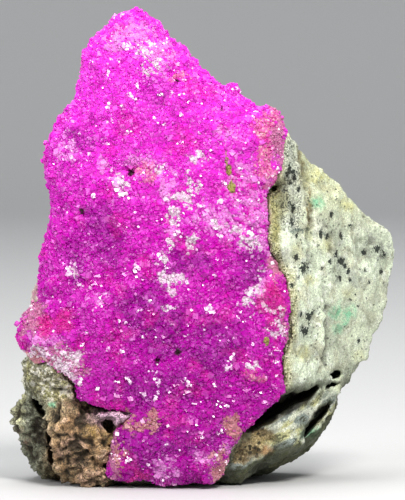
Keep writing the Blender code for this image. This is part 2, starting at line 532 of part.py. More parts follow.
def build_rock():
    rock = block("matrix_rock", ROCK_BLOCKS[0])
    for corners in ROCK_BLOCKS[1:]:
        combine(rock, block("lump", corners), "UNION")
    cells = rock.modifiers.new("cells", "REMESH")
    cells.mode = "VOXEL"
    cells.voxel_size = ROCK_VOXEL * MM
    apply_modifiers(rock)
    roughen(rock)
    thinner = rock.modifiers.new("thinner", "DECIMATE")
    thinner.ratio = ROCK_TRIANGLES / (2.0 * len(rock.data.polygons))
    apply_modifiers(rock)
    cut_flat_foot(rock)
    for cut in ROCK_OPENINGS:
        combine(rock, opening(*cut), "DIFFERENCE")
    # Room for the crust, with a gap behind and round it
    line = stepped(grown_outline(CONTACT_GAP), 100.0)
    flat, triangles = triangulated_sheet(line, 100.0, 0.0, 0.0, random.Random(1))
    room = deep_sheet("room", flat, triangles, [-30.0] * len(flat), 60.0)
    bed = build_bed()
    bed.location.y = CONTACT_GAP * MM
    bpy.context.view_layer.update()
    combine(room, bed, "DIFFERENCE")
    combine(rock, room, "DIFFERENCE")
    keep_largest_body(rock)
    return rock


clear_scene()
specimen = bpy.data.objects.new("specimen", None)
bpy.context.scene.collection.objects.link(specimen)
matrix_rock = build_rock()
dolomite_crust = build_druse()
add_material(matrix_rock, "broken_rock", (0.46, 0.45, 0.36), 0.85)
add_material(dolomite_crust, "cobalt_dolomite", (0.66, 0.06, 0.52), 0.3)
settle_origin(matrix_rock, specimen)
settle_origin(dolomite_crust, specimen)
centre_on_foot(specimen, [matrix_rock, dolomite_crust])
pieces = bpy.data.collections.new("cobaltoan_dolomite")
bpy.context.scene.collection.children.link(pieces)
for piece in (specimen, matrix_rock, dolomite_crust):
    bpy.context.scene.collection.objects.unlink(piece)
    pieces.objects.link(piece)
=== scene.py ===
"""The looks of a cobaltoan dolomite specimen: a magenta druse over the front of a broken block of host rock.

Places in the lists are millimetres in the part's own frame: X across, Y back into the rock, Z up.
"""

import math

import bmesh
import bpy
import numpy as np
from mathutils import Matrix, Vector, noise
from mathutils.bvhtree import BVHTree


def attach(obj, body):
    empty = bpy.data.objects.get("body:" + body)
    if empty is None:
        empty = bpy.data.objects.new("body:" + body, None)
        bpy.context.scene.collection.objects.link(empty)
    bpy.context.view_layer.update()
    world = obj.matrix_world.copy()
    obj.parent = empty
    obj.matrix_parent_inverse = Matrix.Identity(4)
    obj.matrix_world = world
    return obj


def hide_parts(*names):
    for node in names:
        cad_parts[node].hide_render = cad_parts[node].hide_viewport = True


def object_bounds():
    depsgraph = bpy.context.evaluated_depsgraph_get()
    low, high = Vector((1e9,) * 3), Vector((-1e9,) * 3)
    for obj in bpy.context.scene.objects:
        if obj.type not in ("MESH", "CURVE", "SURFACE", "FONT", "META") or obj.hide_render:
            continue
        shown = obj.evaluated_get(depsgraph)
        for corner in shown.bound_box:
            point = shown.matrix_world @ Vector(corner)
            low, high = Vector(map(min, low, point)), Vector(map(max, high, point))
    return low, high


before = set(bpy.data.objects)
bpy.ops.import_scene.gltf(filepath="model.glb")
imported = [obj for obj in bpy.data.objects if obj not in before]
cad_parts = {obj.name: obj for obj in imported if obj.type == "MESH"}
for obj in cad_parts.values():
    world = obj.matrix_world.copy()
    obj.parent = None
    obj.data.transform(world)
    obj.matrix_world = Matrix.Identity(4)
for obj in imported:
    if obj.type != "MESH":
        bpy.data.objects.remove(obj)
cad_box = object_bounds()
MM = 0.001

# The host rock: a broken block of bedded carbonate rock. Its right flank is pale and grainy, the slabs under
# the long open crack are grey, and the lumps at its lower left are weathered brown and grey-green.


def add_object(name, data):
    """A new object in the scene."""
    made = bpy.data.objects.new(name, data)
    bpy.context.scene.collection.objects.link(made)
    return made


def finer_copy(node, name, cell, rounds):
    """A copy of a solid on a fine even mesh, its flat facets rubbed down."""
    piece = add_object(name, node.data.copy())
    cells = piece.modifiers.new("cells", "REMESH")
    cells.mode = "VOXEL"
    cells.voxel_size = cell * MM
    rubbed = piece.modifiers.new("rubbed", "SMOOTH")
    rubbed.factor = 0.5
    rubbed.iterations = rounds
    graph = bpy.context.evaluated_depsgraph_get()
    shaped = bpy.data.meshes.new_from_object(piece.evaluated_get(graph))
    piece.modifiers.clear()
    piece.data = shaped
    shaped.materials.clear()
    return piece


def points_and_normals(mesh):
    """The mesh's points in millimetres and their normals."""
    places = np.empty(len(mesh.vertices) * 3, dtype=np.float32)
    mesh.vertices.foreach_get("co", places)
    normals = np.empty(len(mesh.vertices) * 3, dtype=np.float32)
    mesh.vertex_normals.foreach_get("vector", normals)
    return places.reshape(-1, 3) / MM, normals.reshape(-1, 3)


def set_points(mesh, places):
    """Moves the mesh's points to these places in millimetres."""
    mesh.vertices.foreach_set("co", (places * MM).astype(np.float32).ravel())
    mesh.update()


def add_values(mesh, name, values):
    """Stores one value for each point of the mesh."""
    mesh.attributes.new(name, "FLOAT", "POINT").data.foreach_set("value", values.astype(np.float32))


def search_tree(mesh):
    """A tree for finding where rays, in metres, meet the mesh."""
    return BVHTree.FromPolygons([v.co for v in mesh.vertices], [p.vertices[:] for p in mesh.polygons])


def room_ahead(mesh, places, normals, reach):
    """How far each point looks along its normal before it meets the mesh again, in millimetres."""
    tree = search_tree(mesh)
    room = np.full(len(places), reach)
    for k, (place, normal) in enumerate(zip(places, normals)):
        way = Vector(map(float, normal))
        hit = tree.ray_cast(Vector(map(float, place)) * MM + way * (0.1 * MM), way, reach * MM)
        if hit[3] is not None:
            room[k] = hit[3] / MM
    return room


def noise_at(places, size, shift):
    """Smooth noise with lumps of this size, from about -1 to 1."""
    off = Vector((shift, shift, shift))
    return np.array([noise.noise(Vector(map(float, p)) / size + off) for p in places])


noise.seed_set(1)        # noise_vector moves its noise about by chance in each run if it has no seed


def shaken(places, size, strength, shift):
    """The places moved about by noise with lumps of this size."""
    off = Vector((shift, shift, shift))
    moves = [noise.noise_vector(Vector(map(float, p)) / size + off) for p in places]
    return places + strength * np.array(moves)


def away_from_line(places, line):
    """How far each place is, across and up, from a line through a list of points."""
    away = np.full(len(places), 1000.0)
    for start, end in zip(line[:-1], line[1:]):
        run = np.array(end[:2]) - start[:2]
        off = places[:, [0, 2]] - start[:2]
        along = ((off @ run) / max(run @ run, 1e-9)).clip(0.0, 1.0)
        away = np.minimum(away, np.linalg.norm(off - along[:, None] * run, axis=1))
    return away


def streaks_at(places, slope, long, short, shift):
    """Noise drawn out across and up along a slope in degrees, from about -1 to 1."""
    cos, sin = math.cos(math.radians(slope)), math.sin(math.radians(slope))
    along = (places[:, 0] * cos + places[:, 2] * sin) / long
    across = (places[:, 2] * cos - places[:, 0] * sin) / short
    return noise_at(np.stack([along, across, places[:, 1] / long], axis=1), 1.0, shift)


def away_from_spots(places, spots):
    """How far each place is from the nearest ellipse's middle: 1 on the ellipse."""
    away = np.full(len(places), 1000.0)
    for x, z, wide, high in spots:
        away = np.minimum(away, np.hypot((places[:, 0] - x) / wide, (places[:, 2] - z) / high))
    return away


def share_within(places, spots, reach):
    """1 well inside any of the ellipses, easing to 0 at this many times their size."""
    return (reach - away_from_spots(places, spots)).clip(0.0, 1.0)


# Grains of a black mineral in the flank: across, up, half width, half height
SPECKS = [
    (14.6, 32.0, 0.58, 0.73), (13.7, 30.7, 0.23, 0.23), (12.8, 29.6, 0.36, 0.29), (13.4, 33.6, 0.29, 0.58),
    (15.3, 24.9, 0.44, 0.58), (15.8, 25.3, 0.23, 0.44), (14.1, 25.2, 0.2, 0.44), (14.7, 22.8, 0.58, 0.66),
    (15.3, 23.8, 0.2, 0.2), (20.2, 32.6, 0.51, 0.44), (21.3, 31.1, 0.29, 0.44), (20.0, 30.1, 0.32, 0.44),
    (18.5, 32.6, 0.23, 0.44), (17.3, 31.8, 0.23, 0.23), (21.6, 29.7, 0.23, 0.29), (23.9, 31.0, 0.23, 0.23),
    (26.4, 30.6, 0.29, 0.29), (24.5, 29.2, 0.23, 0.23), (22.4, 27.6, 0.23, 0.2), (21.6, 26.8, 0.23, 0.23),
    (22.8, 25.8, 0.23, 0.2), (23.0, 20.6, 0.23, 0.32), (12.5, 46.4, 0.29, 0.58), (13.1, 45.9, 0.44, 0.29),
    (12.5, 44.4, 0.29, 0.29), (13.2, 45.1, 0.29, 0.44), (12.1, 45.6, 0.2, 0.44), (13.0, 40.6, 0.29, 0.58),
    (12.8, 38.7, 0.29, 0.58), (12.4, 41.4, 0.23, 0.44), (18.7, 39.5, 0.29, 0.44), (17.1, 36.7, 0.29, 0.58),
    (18.1, 36.3, 0.23, 0.44), (20.2, 36.3, 0.23, 0.58), (21.6, 37.7, 0.29, 0.23), (23.7, 33.6, 0.29, 0.44),
    (25.8, 34.0, 0.58, 0.44), (26.9, 33.1, 0.29, 0.44), (19.4, 33.6, 0.29, 0.44), (20.8, 31.9, 0.29, 0.36),
    (13.8, 43.4, 0.23, 0.44), (11.9, 43.4, 0.44, 0.2), (13.5, 36.7, 0.2, 0.32), (16.7, 35.1, 0.2, 0.2),
]
# Furrows of the broken faces, and a ridge of negative depth: half width, depth, and points across and up
FURROWS = [
    (0.3, 0.45, [(14.0, 49.5), (14.4, 46.2), (14.8, 43.3), (15.7, 39.9), (15.5, 37.6)]),
    (0.3, 0.35, [(15.2, 37.0), (15.6, 33.0), (17.6, 30.0)]),
    (0.35, 0.5, [(17.6, 29.0), (18.2, 22.0), (18.0, 17.6)]),
    (0.5, -0.35, [(16.6, 36.0), (16.9, 31.0), (17.3, 26.0), (17.2, 20.0)]),
    (0.25, 0.5, [(12.3, 21.0), (11.5, 19.2)]),
    (0.2, 0.25, [(16.2, 20.4), (17.2, 18.6)]),
    (0.2, 0.15, [(9.6, 43.1), (12.2, 44.4)]),
    (0.3, 0.3, [(-21.4, 12.0), (-20.4, 7.0)]),
    (0.3, 0.25, [(-18.8, 12.0), (-17.6, 7.6)]),
    (0.3, 0.35, [(-21.8, 7.7), (-19.6, 7.9), (-17.6, 7.0), (-14.6, 6.8)]),
    (0.3, 0.3, [(-21.6, 5.9), (-19.0, 6.0), (-16.6, 5.0)]),
    (0.3, 0.3, [(-18.2, 4.5), (-15.8, 3.0), (-13.8, 3.4)]),
    (0.35, 0.6, [(-24.8, 16.6), (-22.4, 14.4), (-18.8, 14.2)]),
]
# The rock beside the druse's right edge, the lower lip of the long crack, where a shadow is painted, and the
# dark-veined band
DRUSE_EDGE = [
    (9.9, 44.0), (9.3, 43.0), (9.3, 41.2), (9.5, 34.7), (10.3, 32.9), (11.6, 31.1), (12.2, 28.9),
    (12.5, 26.7), (12.4, 22.3), (11.9, 20.9), (11.4, 19.0), (11.7, 15.0),
]
CRACK_LIP = [(6.4, 8.5), (9.8, 10.0), (11.8, 10.9), (13.3, 11.6), (14.8, 12.4), (15.9, 13.3)]
VEINED_BAND = [(12.6, 49.5), (12.9, 47.0), (12.7, 44.1), (12.9, 41.2), (12.7, 38.2)]
BEDDING_DIP = math.radians(32.0)


def ramp(value, low, high):
    """0 at low, 1 at high and past it."""
    return min(max((value - low) / (high - low), 0.0), 1.0)


def chips(place, size, slope, seed):
    """Relief of flat chips of this size, each of which leans its own way."""
    spot = place / size + Vector((seed, seed, seed))
    centre = noise.voronoi(spot)[1][0]
    lean = noise.cell_vector(centre * 57.0) - Vector((0.5, 0.5, 0.5))
    return 2.0 * slope * size * (spot - centre).dot(lean)


def knobs(place, size, seed):
    """Relief of rounded lumps of this size with creases between them, from -1 to 1."""
    near = noise.voronoi(place / size + Vector((seed, seed, seed)))[0]
    return min(1.0, 2.6 * (near[1] - near[0])) * 1.4 - 0.7 - 0.6 * near[0]


def rock_height(place):
    """Relief of the broken rock at a place."""
    flank = ramp(place.x, 8.0, 11.0) * ramp(place.z, 13.0, 17.0)
    slabs = ramp(place.x, 1.0, 4.0) * ramp(place.z, 15.0, 11.0)
    wander = 3.0 * noise.noise(place / 4.0)
    lumpy = ramp(place.x + wander, -8.0, -14.0) * ramp(place.z + wander, 22.0, 16.0)
    upright = Vector((place.x, place.y, place.z * 0.55))
    height = 0.3 * noise.fractal(place / 5.0, 1.0, 2.0, 2)
    height += (0.45 - 0.25 * flank - 0.2 * slabs) * chips(place, 3.4, 0.4, 5.0)
    height += (0.35 - 0.15 * slabs) * chips(upright, 1.7, 0.36, 0.0)
    if slabs > 0.0:
        along = place.x * math.cos(BEDDING_DIP) + place.z * math.sin(BEDDING_DIP)
        across = place.z * math.cos(BEDDING_DIP) - place.x * math.sin(BEDDING_DIP)
        bedded = Vector((along * 0.35, place.y * 0.5, across))
        height += slabs * (0.2 * noise.noise(bedded / 0.9) + 0.55 * chips(bedded, 1.8, 0.4, 2.0))
    if lumpy > 0.0:
        flat = Vector((place.x * 0.62, place.y, place.z * 1.1))
        lumpy *= 1.0 - 0.55 * ramp(place.z, 10.0, 13.0)
        height += lumpy * (0.36 * knobs(flat, 1.9, 1.0) + 0.6 * chips(flat, 1.5, 0.5, 9.0))
        height += lumpy * (0.22 * knobs(place, 0.95, 6.0) + 0.12 * noise.noise(place / 0.6))
    height += 0.3 * chips(place, 0.8, 0.6, 8.0)
    height += 0.13 * noise.noise(upright / 0.7) + 0.09 * noise.noise(place / 0.42)
    height -= 0.7 * ramp(place.z, 51.0, 54.0)
    return height - 0.9 * max(0.0, noise.noise(place / 1.2 + Vector((4, 9, 2))) - 0.36)


NARROW, WIDE = 0.5, 3.0     # the relief fades out in the cracks as their walls come this near
FURROWS_BACK = 8.0          # how far back from the middle the furrows of the front reach
STAINS_BACK = 12.0          # and its bands and black grains
PAST_BOX = 0.4              # how far the relief may pass the box of the solids
rock = finer_copy(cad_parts["matrix_rock"], "host_rock", cell=0.365, rounds=3)
rock_points, rock_normals = points_and_normals(rock.data)
rock_room = room_ahead(rock.data, rock_points, rock_normals, WIDE)
openness = ((rock_room - NARROW) / (WIDE - NARROW)).clip(0.0, 1.0)
rock_relief = np.array([rock_height(Vector(map(float, p))) for p in rock_points])
wavering = shaken(rock_points, 1.3, 0.4, 3.0)
for wide, deep, line in FURROWS:
    cut = deep * np.exp(-(away_from_line(wavering, line) / wide) ** 2)
    rock_relief -= cut * (rock_points[:, 1] < FURROWS_BACK)
rock_points += rock_normals * (rock_relief * openness)[:, None]
rock_limits = [np.array(corner) / MM for corner in cad_box]
rock_points = np.clip(rock_points, rock_limits[0] - PAST_BOX, rock_limits[1] + PAST_BOX)
rock_points[:, 2] = np.maximum(rock_points[:, 2], 0.0)
set_points(rock.data, rock_points)
in_front = rock_points[:, 1] < STAINS_BACK
add_values(rock.data, "relief", rock_relief)
# How closed in each point is by near walls, for the painted shade in narrow gaps
add_values(rock.data, "closed_in", 1.0 - openness)
# How far each point faces down, for the painted shade on the rock's undersides
add_values(rock.data, "shade_beneath", (-rock_normals[:, 2]).clip(0.0, 1.0))
add_values(rock.data, "specks", (2.5 - away_from_spots(rock_points, SPECKS)).clip(0.0, 2.5) * in_front)
bands = [("edge_band", DRUSE_EDGE, 2.2), ("crack_lip_shadow", CRACK_LIP, 1.1), ("veined_band", VEINED_BAND, 2.0)]
for name, line, wide in bands:
    share = (1.0 - away_from_line(wavering, line) / wide).clip(0.0, 1.0)
    add_values(rock.data, name, share * in_front)
rock.data.polygons.foreach_set("use_smooth", [True] * len(rock.data.polygons))


class Wire:
    """An output of a shader node. Sums, products and the like of wires add the nodes that work them out."""

    def __init__(self, tree, socket=None):
        self.tree = tree
        self.socket = socket

    def node(self, kind, settings=None, inputs=None, out=0):
        """The output of a new node: its settings are set first, then its inputs, by name or number."""
        made = self.tree.nodes.new(kind)
        for name, value in (settings or {}).items():
            setattr(made, name, value)
        for key, value in (inputs or {}).items():
            if isinstance(value, Wire):
                self.tree.links.new(value.socket, made.inputs[key])
            else:
                made.inputs[key].default_value = value
        return Wire(self.tree, made.outputs[out])

    def is_vector(self):
        return self.socket.type in ("VECTOR", "RGBA")

    def maths(self, operation, *terms):
        """A Vector Math node if any term is a vector, and a Math node if none is."""
        if not any(isinstance(t, tuple) or (isinstance(t, Wire) and t.is_vector()) for t in terms):
            return self.node("ShaderNodeMath", {"operation": operation}, dict(enumerate(terms)))
        full = [(t, t, t) if isinstance(t, (int, float)) else t for t in terms]
        return self.node("ShaderNodeVectorMath", {"operation": operation}, dict(enumerate(full)))

    def __add__(self, other):
        return self.maths("ADD", self, other)

    def __radd__(self, other):
        return self.maths("ADD", other, self)

    def __sub__(self, other):
        return self.maths("SUBTRACT", self, other)

    def __rsub__(self, other):
        return self.maths("SUBTRACT", other, self)

    def __mul__(self, other):
        return self.maths("MULTIPLY", self, other)

    def __rmul__(self, other):
        return self.maths("MULTIPLY", other, self)

    def greater_of(self, other):
        return self.maths("MAXIMUM", self, other)

    def length(self):
        return self.node("ShaderNodeVectorMath", {"operation": "LENGTH"}, {0: self}, out="Value")

    def part(self, letter):
        """The X, Y or Z of a vector."""
        return self.node("ShaderNodeSeparateXYZ", None, {0: self}, out=letter)

    def colour(self, red, green, blue):
        """One plain colour."""
        made = self.node("ShaderNodeRGB")
        made.socket.default_value = paint(red, green, blue)
        return made

    def value_of(self, name):
        """The value that the mesh stores under this name."""
        return self.node("ShaderNodeAttribute", {"attribute_name": name}, out="Fac")

    def step(self, low, high, least=0.0, most=1.0):
        """Eases from least to most as this goes from low to high."""
        settings = {"interpolation_type": "SMOOTHSTEP"}
        inputs = {"Value": self, "From Min": low, "From Max": high, "To Min": least, "To Max": most}
        if low > high:
            inputs.update({"From Min": high, "From Max": low, "To Min": most, "To Max": least})
        return self.node("ShaderNodeMapRange", settings, inputs)

    def mix(self, other, share):
        """This colour mixed by the share with another wire's, or with one of 0 to 255 display values."""
        if isinstance(other, tuple):
            other = paint(*other)
        return self.node("ShaderNodeMix", {"data_type": "RGBA"}, {0: share, 6: self, 7: other}, out=2)

    def grain(self, size, detail=3.0, roughness=0.55, seed=0.0, out="Fac"):
        """Cloudy noise with lumps of this size, about 0.5 on average."""
        inputs = {"Vector": self + (seed, seed * 0.7, -seed), "Scale": 1.0 / size, "Detail": detail}
        inputs["Roughness"] = roughness
        return self.node("ShaderNodeTexNoise", None, inputs, out=out)

    def cells(self, size, feature="F1", seed=0.0):
        """Voronoi cells of this size."""
        inputs = {"Vector": self + (seed, -seed, seed * 0.5), "Scale": 1.0 / size}
        return self.node("ShaderNodeTexVoronoi", {"feature": feature}, inputs, out="Distance")

    def bump(self, distance):
        """Normals bumped by this height, up to a distance in millimetres."""
        return self.node("ShaderNodeBump", None, {"Distance": distance * MM, "Height": self}, out="Normal")

    def spots(self, where, soft=0.45):
        """1 inside any of the ellipses (across, up, half width, half height), easing to 0 outside."""
        found = None
        for x, z, wide, high in where:
            away = ((self - (x, 0.0, z)) * (1.0 / wide, 0.0, 1.0 / high)).length()
            one = away.step(1.0 + soft, 1.0 - soft)
            found = one if found is None else found.greater_of(one)
        return found


def paint(red, green, blue):
    """A colour from its 0 to 255 display values."""
    shares = (red / 255, green / 255, blue / 255)
    linear = [v / 12.92 if v <= 0.04045 else ((v + 0.055) / 1.055) ** 2.4 for v in shares]
    return (*linear, 1.0)


def start_material(name):
    """A new material, its shader and the place on the specimen in millimetres."""
    made = bpy.data.materials.new(name)
    made.use_nodes = True
    shader = made.node_tree.nodes["Principled BSDF"]
    place = Wire(made.node_tree).node("ShaderNodeTexCoord", out="Object") * 1000.0
    return made, shader, place


def feed(shader, values):
    """Sets the shader's inputs from wires and numbers."""
    for name, value in values.items():
        if isinstance(value, Wire):
            value.tree.links.new(value.socket, shader.inputs[name])
        else:
            shader.inputs[name].default_value = value


# Stains and parts of the rock: across, up, half width, half height
GREEN_STAINS = [
    (16.6, 41.3, 0.9, 1.0), (19.6, 25.2, 0.8, 1.2), (21.6, 24.9, 0.9, 1.0), (20.9, 23.6, 0.8, 0.7),
    (19.6, 22.6, 0.8, 0.7), (15.9, 7.4, 1.3, 0.8), (-21.8, 12.1, 0.6, 0.6),
]
YELLOW_STAINS = [
    (17.8, 35.3, 1.0, 1.2), (15.5, 30.0, 0.9, 0.7), (21.4, 27.7, 1.0, 0.9), (23.0, 18.1, 1.0, 1.1),
    (21.4, 40.7, 1.4, 0.9), (15.5, 37.1, 0.7, 1.1), (14.5, 19.6, 1.0, 1.1), (17.2, 45.3, 1.6, 0.9),
    (14.4, 10.0, 0.8, 0.9), (11.8, 7.9, 1.0, 0.9), (13.3, 34.1, 0.7, 1.2), (-23.0, 15.5, 1.2, 1.5),
]
TAN_STREAKS = [(15.3, 40.6, 0.5, 3.2), (14.1, 46.8, 0.5, 2.6), (11.6, 51.0, 0.5, 2.0)]
FAR_GREYS = [(25.7, 34.4, 2.2, 2.2), (22.9, 29.5, 2.0, 1.6), (20.4, 30.8, 1.1, 1.7), (26.2, 27.6, 1.8, 1.1)]
GOLD_STAINS = [(-14.1, 7.1, 1.1, 1.3), (-16.4, 8.4, 1.2, 1.6), (-7.2, 10.0, 1.9, 2.1), (7.0, 7.5, 1.9, 0.7)]
VUGGY_PATCH = [(7.0, 5.9, 2.4, 1.4), (8.4, 7.2, 1.8, 1.0), (5.4, 4.6, 1.2, 1.0)]
PINK_EDGE = [(-25.2, 29.6, 1.6, 2.8)]
OLIVE_EDGE = [(10.5, 41.2, 1.3, 2.6), (10.2, 37.4, 0.8, 2.4)]
PALE_STREAKS = [(16.8, 37.4, 1.2, 2.2), (12.7, 33.4, 0.9, 1.6), (14.2, 42.0, 0.5, 2.2)]
OLIVE_BAND = [(12.0, 41.6, 1.3, 2.2), (11.6, 44.6, 1.4, 0.6), (14.6, 46.6, 0.7, 2.4)]
NOTCH = [(10.6, 43.6, 2.0, 1.4)]
ORANGE_STAINS = [(9.3, 5.2, 0.8, 0.6)]
TEAL_LINE = [(14.6, 37.3, 1.9, 0.3), (17.4, 36.8, 1.4, 0.25)]
RUST_STAINS = [
    (-27.7, 7.6, 0.9, 0.8), (-26.1, 6.1, 0.7, 0.9), (-20.5, 16.6, 1.2, 1.0), (-14.8, 4.8, 0.8, 1.2),
    (-18.4, 12.4, 2.0, 0.5),
]
BROWN_LUMP = [(-17.8, 5.8, 5.4, 7.2)]
BACK_GREYS = [(-25.9, 7.0, 2.4, 7.0)]
BACK_RIM = [(-27.2, 10.1, 0.8, 2.0), (-27.0, 12.4, 0.7, 1.0)]
PINKISH_KNOBS = [
    (-18.9, 6.8, 2.0, 0.8), (-20.5, 5.2, 1.0, 0.8), (-17.0, 1.4, 1.3, 1.2), (-18.0, 3.7, 1.4, 0.7),
    (-14.6, 1.8, 1.0, 1.0),
]
PALE_LEDGE = [(-10.8, 10.4, 5.6, 1.5)]

rock_look, rock_shader, place = start_material("host_rock_look")
relief = place.value_of("relief")
edge_band = place.value_of("edge_band")
veined_band = place.value_of("veined_band")
wavy = place + (place.grain(1.6, out="Color") - 0.5) * 2.2
cloud = place.grain(2.6, 3.0, 0.6)
mottle = place.grain(1.1, 4.0, 0.65, seed=3.0)
fine = place.grain(0.3, 2.0, 0.6, seed=9.0)
crumbs = place.grain(0.17, 1.0, 0.5, seed=21.0)
streaks = (place * (1.0, 1.0, 0.2)).grain(0.7, 3.0, 0.6, seed=5.0)
up, right, back = wavy.part("Z"), wavy.part("X"), wavy.part("Y")
body = place.colour(222, 233, 206)
body = body.mix((188, 186, 160), cloud.step(0.5, 0.6) * 0.65)
body = body.mix((242, 248, 232), mottle.step(0.5, 0.62) * 0.8)
body = body.mix((190, 190, 144), up.step(33.0, 46.0) * mottle.step(0.4, 0.6, 0.3, 0.9))
body = body.mix((140, 146, 122), streaks.step(0.56, 0.68) * 0.4)
body = body.mix((92, 98, 78), fine.step(0.62, 0.7) * streaks.step(0.48, 0.56) * 0.85)
body = body.mix((214, 214, 150), wavy.spots(YELLOW_STAINS, 0.7) * mottle.step(0.35, 0.6, 0.2, 0.75))
body = body.mix((152, 158, 144), wavy.spots(FAR_GREYS, 0.7) * mottle.step(0.4, 0.6, 0.3, 0.8))
body = body.mix((190, 196, 170), right.step(17.0, 20.0) * up.step(31.0, 27.0) * 0.5)
body = body.mix((140, 126, 84), wavy.spots(TAN_STREAKS, 0.6) * streaks.step(0.42, 0.58, 0.1, 0.9))
tangled = place + (place.grain(0.9, 1.0, 0.5, seed=17.0, out="Color") - 0.5) * 4.0
waves = {"Vector": tangled, "Scale": 0.38, "Distortion": 2.0, "Detail": 1.0, "Detail Scale": 1.1}
winding = place.node("ShaderNodeTexWave", None, waves, out="Fac").step(0.36, 0.14)
lines = winding * cloud.step(0.36, 0.5, 0.3, 1.0)
grains = place.cells(0.42, seed=3.0)
edge_band = edge_band * up.step(24.0, 36.0, 0.75, 1.0)
body = body.mix((164, 162, 112), edge_band.step(0.1, 0.6) * mottle.step(0.3, 0.55, 0.5, 0.95))
body = body.mix((224, 220, 190), edge_band.step(0.1, 0.5) * fine.step(0.5, 0.6) * 0.85)
body = body.mix((54, 52, 28), edge_band.step(0.15, 0.5) * grains.step(0.42, 0.22) * cloud.step(0.4, 0.5))
body = body.mix((160, 156, 104), wavy.spots(OLIVE_EDGE, 0.6) * mottle.step(0.34, 0.56, 0.5, 0.95))
body = body.mix((220, 226, 210), veined_band.step(0.1, 0.8) * mottle.step(0.36, 0.54, 0.3, 0.85))
body = body.mix((158, 158, 124), wavy.spots(OLIVE_BAND, 0.6) * cloud.step(0.4, 0.55, 0.4, 0.9))
body = body.mix((240, 244, 222), wavy.spots(PALE_STREAKS, 0.6) * mottle.step(0.38, 0.55, 0.2, 0.8))
body = body.mix((52, 50, 30), wavy.spots(OLIVE_EDGE, 0.6) * lines * 0.6)
body = body.mix((44, 50, 40), veined_band.step(0.1, 0.45).greater_of(edge_band * 0.6) * lines * 0.64)
slabs = up.step(14.5, 11.5) * right.step(-2.0, 4.0)
place_x, place_y, place_z = place.part("X"), place.part("Y"), place.part("Z")
along = place_x * math.cos(BEDDING_DIP) + place_z * math.sin(BEDDING_DIP)
across = place_z * math.cos(BEDDING_DIP) - place_x * math.sin(BEDDING_DIP)
bedded = place.node("ShaderNodeCombineXYZ", None, {0: along * 0.35, 1: place_y * 0.6, 2: across})
layers = bedded.grain(0.9, 3.0, 0.6, seed=12.0)
beds = bedded.grain(2.0, 1.0, 0.5, seed=31.0)
body = body.mix((168, 174, 148), slabs * 0.85)
body = body.mix((132, 144, 144), slabs * beds.step(0.5, 0.42) * 0.75)
body = body.mix((206, 204, 146), slabs * beds.step(0.5, 0.58) * 0.75)
body = body.mix((224, 228, 208), slabs * layers.step(0.5, 0.6) * 0.85)
body = body.mix((76, 78, 58), slabs * layers.step(0.44, 0.36) * 0.85)
corner = (up + mottle * 4.0).step(24.5, 18.5) * (right + cloud * 8.0).step(1.0, -7.0)
brow = corner * up.step(11.0, 14.0)
brown_lump = wavy.spots(BROWN_LUMP)
back_greys = wavy.spots(BACK_GREYS)
body = body.mix((156, 152, 122), corner)
body = body.mix((198, 194, 132), brow * cloud.step(0.46, 0.58) * 0.8)
body = body.mix((238, 234, 220), brow * mottle.step(0.5, 0.58) * 0.85)
body = body.mix((64, 58, 40), brow * mottle.step(0.44, 0.36) * fine.step(0.4, 0.6) * 0.9)
body = body.mix((196, 158, 116), brown_lump * mottle.step(0.3, 0.55, 0.7, 1.0))
# Painted highlight: the brown lump turns light cream on its raised relief.
body = body.mix((236, 202, 172), brown_lump * relief.step(0.05, 0.5) * fine.step(0.4, 0.55, 0.4, 0.9))
body = body.mix((96, 66, 40), brown_lump * cloud.step(0.48, 0.38) * 0.6)
body = body.mix((162, 166, 144), back_greys * mottle.step(0.3, 0.6, 0.6, 0.95))
# Pale grains on the grey lump, held to its raised relief as painted light.
body = body.mix((202, 205, 188), back_greys * relief.step(0.0, 0.4) * fine.step(0.38, 0.58) * 0.8)
# Painted shade: the grey lump darkens toward its lower half.
body = body.mix((84, 84, 66), back_greys * up.step(8.5, 4.5) * 0.5)
body = body.mix((208, 206, 160), wavy.spots(BACK_RIM, 0.6) * mottle.step(0.38, 0.55, 0.3, 0.85))
body = body.mix((220, 180, 154), wavy.spots(PINKISH_KNOBS, 0.6) * mottle.step(0.4, 0.55, 0.2, 0.9))
body = body.mix((234, 190, 216), wavy.spots(PALE_LEDGE) * mottle.step(0.25, 0.5, 0.75, 1.0))
pinkish = wavy.spots(PINK_EDGE, 0.6) * mottle.step(0.3, 0.5, 0.4, 0.95)
body = body.mix((190, 122, 146), pinkish * back.step(-4.0, -6.5))
body = body.mix((148, 122, 66), wavy.spots(GOLD_STAINS, 0.6) * mottle.step(0.35, 0.6, 0.2, 0.8))
vuggy = wavy.spots(VUGGY_PATCH)
body = body.mix((168, 144, 92), vuggy * 0.85)
body = body.mix((212, 194, 150), vuggy * fine.step(0.5, 0.6) * 0.7)
body = body.mix((84, 66, 42), vuggy * cloud.step(0.54, 0.46) * 0.8)
# Dark spots for the vug's small holes: painted shade.
body = body.mix((28, 22, 16), vuggy * place.cells(0.75, seed=5.0).step(0.46, 0.3) * 0.9)
body = body.mix((186, 144, 98), wavy.spots(ORANGE_STAINS, 0.6) * 0.7)
body = body.mix((98, 56, 42), wavy.spots(RUST_STAINS, 0.6) * mottle.step(0.4, 0.6, 0.1, 0.7))
body = body.mix((132, 204, 162), wavy.spots(GREEN_STAINS, 0.6) * mottle.step(0.38, 0.56, 0.2, 0.85))
body = body.mix((60, 84, 80), wavy.spots(TEAL_LINE, 0.6) * mottle.step(0.4, 0.55) * 0.8)
body = body.mix((182, 176, 148), back.step(8.0, 14.0) * cloud.step(0.3, 0.6, 0.2, 0.8))
